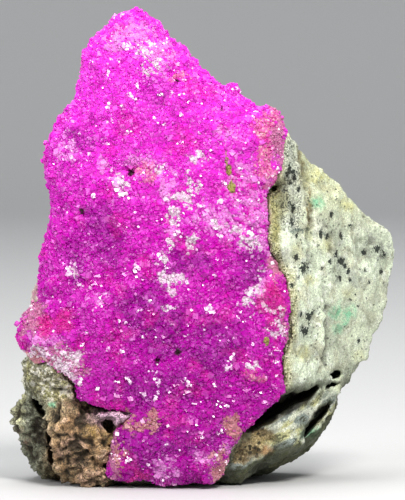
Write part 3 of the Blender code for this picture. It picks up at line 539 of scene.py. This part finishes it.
# Painted shade in the creases between the knobs of the lower left corner.
gaps = place.cells(0.95, "DISTANCE_TO_EDGE", seed=4.0).step(0.1, 0.02)
gaps = gaps.greater_of(place.cells(0.5, "DISTANCE_TO_EDGE", seed=9.0).step(0.1, 0.03) * 0.7)
body = body.mix((48, 38, 26), corner * gaps * mottle.step(0.56, 0.44, 0.1, 0.8))
# Painted shade: the rock turns dark olive where it faces down, most on the slabs' underside, less on the vug
# and the flank above the crack.
shade_beneath = place.value_of("shade_beneath").step(0.08, 0.45) * right.step(-12.0, -2.0, 0.3, 0.9)
shade_beneath = shade_beneath * (1.0 - vuggy * 0.8) * up.step(16.5, 13.5, 0.35, 1.0)
body = body.mix((56, 60, 38), shade_beneath)
near_specks = place.value_of("specks")
body = body.mix((168, 176, 162), near_specks.step(0.2, 1.2) * mottle.step(0.4, 0.55) * 0.5)
specks = (near_specks + place.grain(0.32, 2.0, 0.6, seed=6.0) * 3.4).step(3.12, 3.24)
pepper = place.cells(0.7, seed=7.0).step(0.3, 0.18) * place.grain(2.4, seed=8.0).step(0.46, 0.56)
body = body.mix((34, 42, 38), (specks * 0.96).greater_of(pepper * 0.7))
# Painted shade: darker in the relief's deep hollows, most over the lower left corner, and in narrow gaps
# whose walls close in, less so in the notch.
hollow_shade = relief.step(0.1, -0.8) * corner.step(0.0, 1.0, 0.75, 0.95)
hollow_shade = hollow_shade.greater_of(corner * relief.step(-0.2, -0.65) * 0.9)
# Painted shadow along the lower lip of the long crack.
body = body.mix((32, 28, 20), place.value_of("crack_lip_shadow").step(0.1, 0.7) * 0.9)
closed_in = place.value_of("closed_in").step(0.3, 0.9) * (1.0 - wavy.spots(NOTCH) * 0.75)
body = body.mix((46, 38, 26), hollow_shade.greater_of(closed_in * 0.9))
# Darker in the relief's hollows and lighter on its bumps, as painted shade and light, then a grainy tone that
# varies at random.
body = body * relief.step(-0.3, 0.6, 0.88, 1.12) * fine.step(0.25, 0.75, 0.78, 1.18)
body = body * (1.0 + (crumbs.step(0.25, 0.75, -0.4, 0.4) * (0.75 + corner * 0.6)))
knobbly = place.cells(0.95, seed=4.0) * -1.6 - place.cells(0.5, seed=9.0) * 0.9
uneven = mottle * 1.2 + fine * 0.8 + crumbs * 0.3 + streaks * 0.5 - specks * 0.8 - lines * veined_band
uneven = uneven + knobbly * corner.greater_of(vuggy) + layers * slabs
feed(rock_shader, {
    "Base Color": body,
    "Roughness": mottle.step(0.3, 0.7, 0.62, 0.9),
    "Normal": uneven.bump(0.16),
    "Specular IOR Level": 0.35,
})
rock.data.materials.append(rock_look)
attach(rock, "root")
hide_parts("matrix_rock")

# The druse's body: the crust of cobaltoan dolomite from which the crystals stand, 1 to 3 mm thick. It is deep
# purple in hollows, partly as painted shade, pink where thin, salmon at its upper right corner, and white
# where cobalt was lacking.

# Patches of the druse: across, up, half width, half height
DRUSE_PATCHES = {
    "white": [
        (-8.4, 63.6, 1.2, 1.2), (-8.0, 61.4, 0.9, 1.3), (-1.5, 44.2, 0.5, 1.1), (-3.2, 42.1, 0.8, 1.4),
        (-4.5, 39.8, 0.7, 0.9), (-1.8, 35.8, 0.9, 1.3), (-4.5, 35.5, 0.8, 0.7), (1.3, 38.5, 0.6, 0.6),
        (4.4, 38.4, 0.9, 0.6), (6.0, 37.5, 1.0, 0.7), (6.8, 36.0, 1.0, 1.1), (-4.6, 30.3, 1.6, 0.9),
        (-5.6, 31.0, 0.5, 0.9), (7.8, 31.1, 0.9, 1.0), (7.0, 28.0, 1.3, 1.3), (6.8, 25.7, 0.4, 0.7),
        (10.7, 23.2, 0.9, 1.2), (9.9, 25.6, 1.0, 0.9), (6.6, 18.3, 0.7, 0.7), (3.3, 17.5, 0.5, 0.4),
        (-12.0, 43.9, 0.7, 1.3), (-6.3, 33.7, 0.5, 0.7), (-6.1, 46.6, 0.6, 0.6), (-1.7, 48.1, 1.5, 0.9),
        (-4.8, 26.4, 0.8, 0.6), (-19.1, 32.0, 0.6, 0.7), (-23.6, 19.8, 1.6, 1.0), (-20.0, 18.2, 2.0, 1.8),
        (-18.6, 16.0, 0.9, 1.3),
    ],
    "hazy": [
        (-12.6, 64.6, 1.3, 1.5), (-6.0, 62.8, 1.6, 2.3), (-9.0, 62.8, 1.2, 1.2), (-8.7, 47.5, 2.3, 1.5),
        (-9.6, 66.0, 2.8, 1.6), (-5.1, 44.5, 1.3, 2.6), (5.6, 39.2, 4.0, 3.1), (9.2, 36.6, 2.0, 3.4),
        (6.0, 44.5, 2.4, 3.2), (3.4, 51.0, 1.6, 1.1), (-13.9, 46.2, 1.3, 1.6), (-4.6, 37.8, 1.2, 1.2),
        (8.4, 28.9, 1.0, 1.5), (-19.7, 49.2, 1.2, 1.5), (-23.2, 21.6, 2.3, 1.6), (-5.8, 2.6, 1.8, 1.8),
        (-0.1, 4.2, 1.3, 1.4), (3.1, 4.1, 1.5, 2.8), (-13.0, 5.6, 0.9, 3.9), (-14.8, 27.2, 1.1, 1.3),
        (8.3, 41.8, 1.2, 1.8), (1.0, 39.7, 2.1, 2.3), (8.9, 45.2, 1.5, 1.2),
    ],
    "rim": [
        (-25.6, 24.1, 1.0, 1.7), (-24.9, 26.4, 1.2, 1.8), (-23.2, 19.8, 2.3, 1.2), (-19.8, 17.8, 2.5, 1.6),
        (-13.0, 5.2, 0.7, 3.5), (11.0, 50.7, 0.9, 3.8), (10.3, 32.6, 0.6, 2.0), (11.8, 24.0, 0.5, 2.5),
    ],
    "crimson": [
        (-23.0, 23.6, 1.3, 1.0), (-20.0, 24.6, 0.9, 1.5), (10.3, 26.8, 1.5, 2.2), (-9.3, 1.7, 0.9, 0.7),
        (9.4, 50.6, 0.7, 2.0), (10.3, 32.9, 0.8, 1.4),
    ],
    "cream": [
        (8.1, 48.9, 0.8, 1.8), (9.2, 47.2, 0.9, 1.8), (8.5, 52.6, 1.4, 1.2), (10.0, 45.0, 0.9, 1.0),
        (9.7, 55.0, 1.4, 1.0), (10.6, 31.2, 0.6, 1.8), (7.7, 16.3, 1.4, 0.9), (-7.8, 46.1, 1.0, 1.2),
        (-4.0, 59.8, 1.4, 0.5),
    ],
    "tan": [
        (-7.1, 11.2, 1.0, 1.1), (-7.8, 9.3, 0.9, 1.2), (-10.9, 10.1, 1.9, 1.2), (4.1, 9.1, 1.2, 1.0),
        (2.5, 5.1, 1.0, 1.0), (-12.0, 4.6, 0.4, 1.8), (2.6, 2.5, 1.5, 1.6), (-24.6, 18.6, 1.6, 0.8),
    ],
    "deep": [
        (-4.2, 32.9, 2.2, 1.8), (-0.2, 33.2, 1.8, 1.3), (6.7, 32.2, 2.6, 2.6), (-14.6, 37.1, 2.5, 4.2),
        (-18.5, 33.3, 1.6, 3.8), (-7.8, 25.0, 4.4, 4.0), (1.6, 21.0, 3.6, 3.6), (-6.4, 15.2, 5.8, 2.2),
        (-6.9, 58.3, 2.3, 1.8), (-8.5, 6.2, 3.6, 3.3), (-2.5, 7.1, 2.7, 1.6), (-18.5, 50.7, 2.3, 1.5),
        (-4.9, 21.6, 2.9, 1.6),
    ],
}
PITS = [
    (-10.6, 46.0, 0.5, 0.45), (-3.8, 20.0, 0.5, 0.6), (-6.7, 18.9, 0.4, 0.5), (-17.7, 40.3, 0.4, 0.6),
    (-4.0, 59.1, 0.4, 0.4), (2.6, 55.1, 0.3, 0.3),
]


# The white patches break up along streaks: slope in degrees, and length and width in millimetres
WHITE_STREAKS = {"slope": -40.0, "long": 1.5, "short": 0.6, "shift": 4.0}


def add_druse_values(mesh, places, repeat=1):
    """Stores the points' shares of the druse's patches. Each place stands for this many points."""
    ragged = shaken(shaken(places, 2.6, 1.5, 5.0), 0.9, 0.8, 9.0)
    streaked = (0.8 + 1.1 * streaks_at(places, **WHITE_STREAKS)).clip(0.0, 1.0)
    for name, spots in DRUSE_PATCHES.items():
        share = share_within(ragged, spots, 1.7)
        if name in ("white", "hazy"):
            share *= streaked
        add_values(mesh, name, np.repeat(share, repeat))
    pits = share_within(shaken(places, 0.5, 0.3, 2.0), PITS, 1.7)
    add_values(mesh, "pits", np.repeat(pits, repeat))
    add_values(mesh, "own", np.repeat(draw.random(len(places)), repeat))


def druse_colour(place):
    """The druse's colour at a place. Nearer a patch's middle, more of the crystals have its colour."""
    up, own = place.part("Z"), place.value_of("own")
    cloud = place.grain(4.5, 3.0, seed=6.0)
    patchy = place.grain(1.3, 3.0, seed=2.0)
    speckle = place.grain(0.4, 2.0, seed=4.0)
    chance = own * 0.7 + speckle.step(0.3, 0.7) * 0.3
    tint = place.colour(200, 10, 176)
    # Lighter toward the top and deeper toward the bottom: partly the druse's own colour, partly painted light
    # from above.
    tint = tint.mix((240, 52, 220), up.step(28.0, 64.0))
    tint = tint.mix((162, 2, 146), up.step(32.0, 6.0) * 0.8)
    depth = place.value_of("deep").step(0.1, 1.0) * up.step(62.0, 36.0, 0.55, 0.95)
    tint = tint.mix((142, 4, 134), depth * cloud.step(0.3, 0.6, 0.45, 1.0))
    tint = tint.mix((214, 30, 150), cloud.step(0.52, 0.66) * 0.45)
    # Lighter patches and crystals grow commoner upward, here and two lines down: partly their own colour,
    # partly painted light from above.
    tint = tint.mix((236, 84, 220), patchy.step(0.5, 0.66) * up.step(8.0, 44.0, 0.12, 0.45))
    tint = tint.mix((146, 6, 130), patchy.step(0.46, 0.32) * 0.4)
    tint = tint.mix((246, 150, 236), own.step(0.8, 1.0) * up.step(8.0, 44.0, 0.16, 0.45))
    tint = tint.mix((136, 4, 122), own.step(0.2, 0.0) * 0.35)
    tint = tint.mix((238, 156, 226), (place.value_of("hazy") * 1.1 - chance).step(0.0, 0.4) * 0.68)
    tint = tint.mix((204, 44, 122), place.value_of("crimson").step(0.0, 0.8) * 0.55)
    cream = place.colour(218, 96, 158).mix((238, 188, 184), speckle.step(0.47, 0.63))
    tint = tint.mix(cream, (place.value_of("cream") - chance).step(0.0, 0.4) * 0.8)
    tint = tint.mix((190, 120, 150), (place.value_of("rim") * 1.2 - chance).step(0.0, 0.4) * 0.85)
    tint = tint.mix((194, 140, 124), (place.value_of("tan") - chance).step(0.0, 0.3) * 0.75)
    white = place.colour(196, 168, 184).mix((238, 216, 232), speckle.step(0.38, 0.52))
    tint = tint.mix(white, (place.value_of("white") * 1.1 - chance).step(0.0, 0.25) * 0.95)
    return tint.mix((64, 14, 36), place.value_of("pits").step(0.3, 0.9))


draw = np.random.default_rng(7)
crust = finer_copy(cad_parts["dolomite_crust"], "druse_body", cell=0.34, rounds=12)
crust_points, crust_normals = points_and_normals(crust.data)
crust_relief = 0.22 * noise_at(crust_points, 1.7, 0.0) + 0.14 * noise_at(crust_points, 0.7, 0.0) - 0.05
crust_pits = 0.7 * share_within(crust_points, PITS, 1.6) * (crust_normals[:, 1] < 0.0)
crust_points += crust_normals * (crust_relief - crust_pits)[:, None]
crust_points[:, 2] = np.maximum(crust_points[:, 2], 0.1)
set_points(crust.data, crust_points)
add_druse_values(crust.data, crust_points)
crust.data.polygons.foreach_set("use_smooth", [True] * len(crust.data.polygons))

crust_look, crust_shader, place = start_material("druse_body_look")
facets = place.cells(0.5)
feed(crust_shader, {
    # A little darker than the crystals: painted shade between them.
    "Base Color": druse_colour(place) * 0.95,
    "Roughness": facets.step(0.1, 0.6, 0.25, 0.5),
    "Normal": facets.bump(0.15),
})
crust.data.materials.append(crust_look)
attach(crust, "root")
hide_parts("dolomite_crust")

# The druse's crystals: thousands of rhombs of 0.2 to 0.9 mm, grown out of the crust in leaning clusters. The
# smallest stand in sugary streaks on the broader ones.

CUBE_CORNERS = np.array([(x, y, z) for x in (-0.5, 0.5) for y in (-0.5, 0.5) for z in (-0.5, 0.5)])
CUBE_FACES = np.array([(0, 1, 3, 2), (4, 6, 7, 5), (0, 4, 5, 1), (2, 3, 7, 6), (0, 2, 6, 4), (1, 5, 7, 3)])
RHOMB_SQUASH = 0.8       # shortening of a cube along its diagonal that makes the rhomb


def unit_rhomb():
    """Corners of a rhomb of unit edge whose short diagonal is the Z axis."""
    to_up = np.array(Vector((1, 1, 1)).rotation_difference(Vector((0, 0, 1))).to_matrix())
    corners = CUBE_CORNERS @ to_up.T
    corners[:, 2] *= RHOMB_SQUASH
    return corners


def scattered(mesh, count, spacing):
    """Points spread over the crust's front no nearer than the spacing, with their normals."""
    mesh.calc_loop_triangles()
    corners = np.empty(len(mesh.loop_triangles) * 3, dtype=np.int32)
    mesh.loop_triangles.foreach_get("vertices", corners)
    corners = corners.reshape(-1, 3)
    places, normals = points_and_normals(mesh)
    sides = places[corners]
    cross = np.cross(sides[:, 1] - sides[:, 0], sides[:, 2] - sides[:, 0])
    area = np.linalg.norm(cross, axis=1)
    area *= cross[:, 1] < 0.25 * area
    picked = draw.choice(len(area), size=count, p=area / area.sum())
    u, v = draw.random((2, count, 1))
    over = u + v > 1.0
    u[over], v[over] = 1.0 - u[over], 1.0 - v[over]
    chosen = sides[picked]
    spots = chosen[:, 0] + u * (chosen[:, 1] - chosen[:, 0]) + v * (chosen[:, 2] - chosen[:, 0])
    beside = [(i, j, k) for i in (-1, 0, 1) for j in (-1, 0, 1) for k in (-1, 0, 1)]
    kept, filled = [], {}
    for k, spot in enumerate(spots):
        home = (spot // spacing).astype(int)
        near = [filled.get((home[0] + i, home[1] + j, home[2] + n)) for i, j, n in beside]
        if all(other is None or math.dist(spots[other], spot) >= spacing for other in near):
            filled[tuple(home)] = k
            kept.append(k)
    smooth = normals[corners[picked[kept]]].mean(axis=1)
    smooth /= np.linalg.norm(smooth, axis=1)[:, None]
    open_ground = away_from_spots(spots[kept], PITS) > 1.0
    return spots[kept][open_ground], smooth[open_ground]


def add_rhombs(name, centres, edges, turns):
    """One mesh of many rhombs: turns holds a 3 by 3 rotation for each."""
    places = np.einsum("nij,kj->nki", turns, unit_rhomb()) * edges[:, None, None] + centres[:, None, :]
    faces = CUBE_FACES[None] + 8 * np.arange(len(centres))[:, None, None]
    mesh = bpy.data.meshes.new(name)
    mesh.from_pydata((places.reshape(-1, 3) * MM).tolist(), [], faces.reshape(-1, 4).tolist())
    mesh.update()
    add_druse_values(mesh, centres, 8)
    return add_object(name, mesh)


def turns_along(axes, spins):
    """Rotations that take Z to each axis, after a spin about it."""
    helper = np.where(np.abs(axes[:, 2:3]) < 0.9, [[0.0, 0.0, 1.0]], [[1.0, 0.0, 0.0]])
    side = np.cross(helper, axes)
    side /= np.linalg.norm(side, axis=1)[:, None]
    other = np.cross(axes, side)
    cos, sin = np.cos(spins)[:, None], np.sin(spins)[:, None]
    return np.stack([side * cos + other * sin, other * cos - side * sin, axes], axis=2)


def grown(spots, normals, middle, spread, least, most, stand):
    """Centres, edges and turns of rhombs that lean in clusters. Each stands out by a share of its edge."""
    field = shaken(spots, 3.0, 0.8, 0.0) - spots
    axes = normals + field + draw.normal(0.0, 0.3, spots.shape)
    axes /= np.linalg.norm(axes, axis=1)[:, None]
    edges = middle * np.exp(draw.normal(0.0, spread, len(spots)) + 0.25 * noise_at(spots, 4.0, 3.0))
    edges = edges.clip(least, most)
    centres = spots + normals * (edges * draw.uniform(*stand, len(spots)))[:, None]
    return centres, edges, turns_along(axes, draw.uniform(0, math.tau, len(spots)))


broad_spots, broad_normals = scattered(crust.data, count=90000, spacing=0.36)
fine_spots, fine_normals = scattered(crust.data, count=260000, spacing=0.21)
sugary = streaks_at(fine_spots, slope=-40.0, long=2.4, short=1.4, shift=7.0)
sugary = sugary + 0.5 * noise_at(fine_spots, 0.8, 2.0) > -0.12
fine_spots, fine_normals = fine_spots[sugary], fine_normals[sugary]
pale_ground = shaken(broad_spots, 1.5, 1.0, 5.0)
broad_edge = 0.52 - 0.2 * share_within(pale_ground, DRUSE_PATCHES["white"] + DRUSE_PATCHES["rim"], 1.7)
broad = grown(
    broad_spots, broad_normals, middle=broad_edge, spread=0.28, least=0.28, most=0.95, stand=(-0.32, -0.02),
)
small = grown(fine_spots, fine_normals, middle=0.25, spread=0.25, least=0.16, most=0.42, stand=(0.1, 0.7))
centres, edges, turns = (np.concatenate(pair) for pair in zip(broad, small))

crystal_look, crystal_shader, place = start_material("crystal_look")
feed(crystal_shader, {
    "Base Color": druse_colour(place),
    "Roughness": place.grain(0.7, seed=11.0).step(0.35, 0.65, 0.15, 0.4),
    "Specular IOR Level": 0.4,
    "Subsurface Weight": 0.3,
    "Subsurface Radius": (1.0, 0.4, 0.9),
    "Subsurface Scale": 0.4 * MM,
})
LEVELS = [("lower_crystals", -10.0, 22.0), ("middle_crystals", 22.0, 40.0), ("upper_crystals", 40.0, 90.0)]
for name, bottom, top in LEVELS:
    level = (centres[:, 2] >= bottom) & (centres[:, 2] < top)
    crystals = add_rhombs(name, centres[level], edges[level], turns[level])
    crystals.data.materials.append(crystal_look)
    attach(crystals, "root")

# The pale crystals: dolomite that grew last, with no cobalt, over the coloured crust. Grains of 0.2 to 0.6 mm
# stand close in the whitish patches and singly elsewhere, where they are partly painted highlights for
# glints.

grain_spots, grain_normals = scattered(crust.data, count=60000, spacing=0.3)
ragged = shaken(shaken(grain_spots, 2.2, 1.1, 5.0), 0.8, 0.6, 9.0)
whiteness = share_within(ragged, DRUSE_PATCHES["white"], 1.5)
paleness = share_within(ragged, DRUSE_PATCHES["rim"] + DRUSE_PATCHES["hazy"], 1.4)
whiteness *= streaks_at(grain_spots, **WHITE_STREAKS) > -0.15
# The single grains outside the patches also stand in for glints: partly painted highlight.
chance = 0.006 + (0.55 * whiteness + 0.12 * paleness) * (noise_at(grain_spots, 0.9, 8.0) > -0.1)
pale = draw.random(len(grain_spots)) < chance
grain_spots, grain_normals = grain_spots[pale], grain_normals[pale]
grain_axes = grain_normals + draw.normal(0.0, 0.5, grain_spots.shape)
grain_axes /= np.linalg.norm(grain_axes, axis=1)[:, None]
grain_edges = np.exp(draw.normal(math.log(0.3), 0.35, len(grain_spots))).clip(0.16, 0.6)
grain_centres = grain_spots + grain_normals * draw.uniform(-0.02, 0.16, len(grain_spots))[:, None]
grain_turns = turns_along(grain_axes, draw.uniform(0, math.tau, len(grain_spots)))
pale_crystals = add_rhombs("pale_crystals", grain_centres, grain_edges, grain_turns)
pale_look, pale_shader, place = start_material("pale_crystal_look")
pale_tint = place.colour(252, 236, 248)
pale_tint = pale_tint.mix((232, 140, 216), place.value_of("own").step(0.35, 0.8) * 0.7)
feed(pale_shader, {"Base Color": pale_tint, "Roughness": place.grain(0.6).step(0.35, 0.65, 0.15, 0.45)})
pale_crystals.data.materials.append(pale_look)
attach(pale_crystals, "root")

# The crystals that catch the light: broader rhombs of the same dolomite, grown in small groups, and painted
# paler as a highlight. Many in a group grew in step, with their flat faces one way, so that they shine
# together.

# Across, up, length and slope in degrees of each group
BRIGHT_GROUPS = [
    (-11.1, 64.2, 1.9, 0), (-13.9, 60.1, 1.3, 80), (-10.6, 57.1, 1.2, -55), (-14.0, 55.6, 1.3, -60),
    (-12.0, 55.8, 1.0, 35), (-9.8, 58.6, 0.9, -60), (-11.0, 51.8, 1.0, 25), (-13.9, 50.1, 0.9, 90),
    (-16.4, 62.0, 0.7, 20), (-14.2, 61.8, 0.7, 0), (-13.6, 62.1, 0.7, 80), (-12.2, 62.0, 0.6, 0),
    (-15.6, 64.9, 0.7, 30), (-3.9, 64.9, 0.7, 0), (-5.8, 64.6, 0.6, 0), (-19.3, 52.1, 0.6, 0),
    (-18.0, 51.6, 0.4, 0), (-19.1, 48.2, 0.9, -50), (-17.7, 47.1, 0.6, 0), (-12.7, 44.7, 1.5, -75),
    (-12.2, 43.4, 1.8, -50), (-16.2, 42.6, 1.2, 50), (-13.3, 53.6, 0.7, -70), (-5.9, 53.0, 0.6, 0),
    (-3.2, 54.2, 0.9, -75), (-2.9, 59.5, 0.6, 0), (-6.4, 57.3, 0.9, 0), (-4.6, 57.6, 0.9, -15),
    (-3.5, 57.3, 0.7, -10), (-3.9, 37.5, 1.3, 0), (-0.4, 41.1, 1.2, 10), (1.3, 38.5, 1.2, -45),
    (2.5, 36.8, 1.0, -30), (-6.4, 34.0, 1.2, -50), (-9.8, 32.2, 1.6, 80), (-5.5, 32.2, 0.7, -45),
    (0.7, 26.1, 1.8, -25), (4.9, 27.1, 0.7, 30), (-19.7, 31.6, 1.3, -80), (-18.1, 29.7, 0.9, -20),
    (-16.4, 29.4, 0.7, 0), (-14.9, 28.0, 0.7, 40), (-17.7, 21.3, 0.7, -40), (-14.0, 20.6, 0.9, -20),
    (-11.9, 20.1, 1.0, 10), (-17.8, 21.0, 0.9, 30), (-12.3, 24.6, 0.7, -70), (-11.3, 24.3, 0.7, 20),
    (-8.7, 22.2, 0.6, 0), (-15.6, 31.0, 0.7, 0), (-23.0, 27.8, 0.9, -40), (-20.9, 27.2, 0.6, 0),
    (-18.0, 26.4, 0.7, 30), (4.1, 19.4, 1.2, 75), (3.5, 17.8, 1.2, 20), (10.5, 20.3, 1.0, -40),
    (10.5, 18.4, 0.9, -50), (-7.1, 17.2, 1.2, -20), (-6.5, 15.6, 1.3, -50), (-2.4, 15.9, 0.9, -60),
    (-2.3, 15.4, 0.9, 20), (1.6, 15.2, 0.7, -50), (-11.0, 16.2, 1.3, -60), (-12.6, 15.6, 1.0, -30),
    (-8.8, 14.0, 1.2, -40), (-6.9, 13.6, 1.0, 60), (-1.4, 12.5, 0.6, 0), (2.2, 12.9, 0.6, 0),
    (3.1, 12.2, 1.0, -50), (-0.3, 7.8, 0.9, -70), (2.2, 8.3, 1.2, 60), (2.6, 9.0, 0.9, 60),
    (-5.6, 6.7, 0.6, 0), (-5.8, 6.1, 0.6, 0), (-11.3, 5.5, 1.0, -50), (-10.9, 4.3, 1.2, 60),
    (-12.7, 4.8, 1.2, -20), (-6.4, 4.6, 0.7, 0), (-8.0, 3.6, 0.6, 0), (5.7, 57.6, 0.6, 0),
    (4.4, 58.1, 0.7, 0), (1.8, 57.6, 0.7, 0), (7.3, 54.7, 0.6, 0), (-0.6, 51.8, 0.6, 0),
    (1.2, 48.1, 0.6, 0), (2.9, 44.6, 1.0, -30), (5.1, 42.0, 0.9, 0), (-2.0, 29.0, 0.6, 0),
    (1.6, 31.1, 0.7, 0), (-1.7, 26.1, 0.6, 0), (-2.6, 22.4, 0.6, 0), (0.0, 23.2, 0.6, 0),
    (4.9, 24.9, 0.7, -60), (7.0, 21.0, 0.7, 60), (-7.8, 27.5, 0.6, 0), (-9.3, 26.1, 0.7, 0),
    (6.7, 45.5, 0.6, 0), (5.2, 46.6, 0.7, 0),
]
KEY_FROM = Vector((0.12, -0.34, 0.40))   # where the main light stands, in metres
EYE_FROM = Vector((0.0, -0.62, 0.07))    # about where the camera stands
MIDDLE = Vector((0, 0, 0.035))           # of the specimen
IN_FRONT = -0.05         # metres back of the rays that look for the druse's front
SINGLE_SHINERS = 60
STEP_LENGTH = 0.13       # of a group for each of its rhombs
SPREAD = (0.26, 0.14)    # of its rhombs along it and across it, as shares of its length
IN_STEP = 0.45           # share of its rhombs that grew in step
WOBBLE = 0.035           # of the faces that shine

toward_eye_and_key = (KEY_FROM - MIDDLE).normalized() + (EYE_FROM - MIDDLE).normalized()
corner_0, corner_1, _, corner_3 = unit_rhomb()[CUBE_FACES[5]]
face_way = Vector(np.cross(corner_1 - corner_0, corner_3 - corner_0)).normalized()


def turn_face_to(way):
    """A rotation that points one face of the rhomb this way, nearly."""
    lean = Vector(draw.normal(0.0, WOBBLE, 3))
    aim = (way.normalized() + lean).normalized()
    return np.array(face_way.rotation_difference(aim).to_matrix())


crust_tree = search_tree(crust.data)


def druse_front(across, up):
    """Where the druse's front is at a place across and up, in metres, or None beside it."""
    return crust_tree.ray_cast(Vector((across * MM, IN_FRONT, up * MM)), Vector((0, 1, 0)))[0]


shiner_centres, shiner_edges, shiner_turns = [], [], []
for x, z, length, slope in BRIGHT_GROUPS:
    turn = turn_face_to(toward_eye_and_key)
    run = np.array((math.cos(math.radians(slope)), math.sin(math.radians(slope))))
    across = np.array((-run[1], run[0]))
    for _ in range(max(2, round(length / STEP_LENGTH))):
        at = np.array((x, z)) + run * draw.normal(0.0, SPREAD[0]) * length
        at += across * draw.normal(0.0, SPREAD[1]) * length
        hit = druse_front(at[0], at[1])
        if hit is not None:
            shiner_centres.append(np.array(hit) / MM + np.array((0.0, draw.uniform(-0.22, -0.06), 0.0)))
            shiner_edges.append(draw.uniform(0.08, 0.24) * length + 0.14)
            in_step = draw.random() < IN_STEP
            shiner_turns.append(turn if in_step else turn_face_to(Vector(draw.normal(0.0, 1.0, 3))))
for k in draw.choice(len(broad_spots), SINGLE_SHINERS, replace=False):
    shiner_centres.append(broad_spots[k] + 0.22 * broad_normals[k])
    shiner_edges.append(draw.uniform(0.2, 0.34))
    shiner_turns.append(turn_face_to(toward_eye_and_key))
shiners = add_rhombs("bright_crystals", *map(np.array, (shiner_centres, shiner_edges, shiner_turns)))
shiner_look, shiner_shader, place = start_material("bright_crystal_look")
feed(shiner_shader, {
    # Paler than the druse around them: a painted highlight, beside the real gloss of the faces turned to the
    # light.
    "Base Color": druse_colour(place).mix((238, 206, 234), place.grain(0.5).step(0.4, 0.6, 0.45, 0.95)),
    "Roughness": place.grain(0.4, seed=5.0).step(0.35, 0.65, 0.12, 0.3),
})
shiners.data.materials.append(shiner_look)
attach(shiners, "root")

# Olive-gold crusts: an ore mineral that grew over the druse at its right side. Two thin blades and a blob
# stand one above the other, and a smaller blob lies far below them.

# Across, up, half width, half height
GOLD_CRUSTS = [(3.3, 47.8, 0.3, 1.3), (3.6, 46.0, 0.36, 1.2), (3.9, 43.6, 0.6, 1.2), (9.0, 21.7, 0.42, 0.8)]
solid = bmesh.new()
for x, z, wide, high in GOLD_CRUSTS:
    hit = druse_front(x, z) / MM
    for vert in bmesh.ops.create_icosphere(solid, subdivisions=4, radius=1.0)["verts"]:
        side = vert.co.copy()
        bulge = 1.0 + 0.4 * noise.noise(side * 1.9 + hit) + 0.2 * noise.noise(side * 5.0 + hit)
        vert.co = (hit + Vector((side.x * wide, side.y * 0.5, side.z * high)) * bulge) * MM
gold_mesh = bpy.data.meshes.new("gold_crusts")
solid.to_mesh(gold_mesh)
solid.free()
gold = add_object("gold_crusts", gold_mesh)
gold_look, gold_shader, place = start_material("gold_crust_look")
gold_tint = place.colour(150, 142, 62)
gold_tint = gold_tint.mix((96, 84, 34), place.grain(0.35, seed=2.0).step(0.45, 0.6))
gold_tint = gold_tint.mix((206, 196, 150), place.grain(0.3, seed=4.0).step(0.58, 0.68))
feed(gold_shader, {"Base Color": gold_tint, "Roughness": place.grain(0.5).step(0.35, 0.65, 0.35, 0.6)})
gold.data.materials.append(gold_look)
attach(gold, "root")

# The stage: a plain pale floor that curves up behind the specimen. Soft square lights stand in front, at the
# left and overhead.

FLOOR_WIDTH = 3.0
FLOOR_DEPTH = (-1.6, 0.9)
SWEEP_RADIUS = 0.35
SWEEP_STEPS = 12
WALL_HEIGHT = 1.4
profile = [(FLOOR_DEPTH[0], 0.0)]
for k in range(SWEEP_STEPS + 1):
    angle = math.radians(90.0 * k / SWEEP_STEPS)
    profile.append((FLOOR_DEPTH[1] + SWEEP_RADIUS * math.sin(angle), SWEEP_RADIUS * (1 - math.cos(angle))))
profile.append((FLOOR_DEPTH[1] + SWEEP_RADIUS, WALL_HEIGHT))
corners = [(side * FLOOR_WIDTH / 2, y, z) for y, z in profile for side in (-1, 1)]
quads = [(2 * k, 2 * k + 1, 2 * k + 3, 2 * k + 2) for k in range(len(profile) - 1)]
sweep = bpy.data.meshes.new("floor")
sweep.from_pydata(corners, [], quads)
sweep.polygons.foreach_set("use_smooth", [True] * len(quads))
floor = add_object("floor", sweep)
floor_look, floor_shader, _ = start_material("floor_look")
feed(floor_shader, {"Base Color": (0.62, 0.62, 0.62, 1.0), "Roughness": 0.7})
floor.data.materials.append(floor_look)


def add_softbox(name, at, aim, side, power, colour):
    """A square soft light that looks at the aim."""
    data = bpy.data.lights.new(name, "AREA")
    data.size = side
    data.energy = power
    data.color = colour
    made = add_object(name, data)
    made.location = at
    made.rotation_euler = (Vector(aim) - Vector(at)).to_track_quat("-Z", "Y").to_euler()


add_softbox("key_light", KEY_FROM, (0, 0, 0.055), 0.15, 2.5, (1.0, 0.98, 0.95))
add_softbox("side_light", (-0.50, -0.35, 0.30), (0, 0, 0.03), 0.30, 1.8, (1.0, 1.0, 1.0))
add_softbox("top_light", (0.0, 0.1, 0.9), (0, 0, 0.0), 0.8, 7.0, (1.0, 1.0, 1.0))
world = bpy.data.worlds.new("studio")
world.use_nodes = True
world.node_tree.nodes["Background"].inputs["Color"].default_value = (0.9, 0.95, 1.0, 1.0)
world.node_tree.nodes["Background"].inputs["Strength"].default_value = 0.25
bpy.context.scene.world = world
bpy.context.scene.view_settings.view_transform = "Standard"

# The camera: a long lens in front of the druse, looking down on it by three degrees. The specimen fills the
# picture as it does in the photograph.

PIXEL = 0.146            # millimetres that one of the 405 by 500 pixels spans
LONG_SIDE = 500
DISTANCE = 620.0
ELEVATION = math.radians(3.0)
AIM = Vector((-0.21, -8.09, 34.53))
camera = add_object("camera", bpy.data.cameras.new("camera"))
camera.data.sensor_width = 36.0
camera.data.lens = DISTANCE / (PIXEL * LONG_SIDE) * camera.data.sensor_width
camera.data.clip_start = 0.01
camera.data.clip_end = 20.0
sight = Vector((0.0, math.cos(ELEVATION), -math.sin(ELEVATION)))
camera.location = (AIM - sight * DISTANCE) * MM
camera.rotation_euler = sight.to_track_quat("-Z", "Y").to_euler()
bpy.context.scene.camera = camera
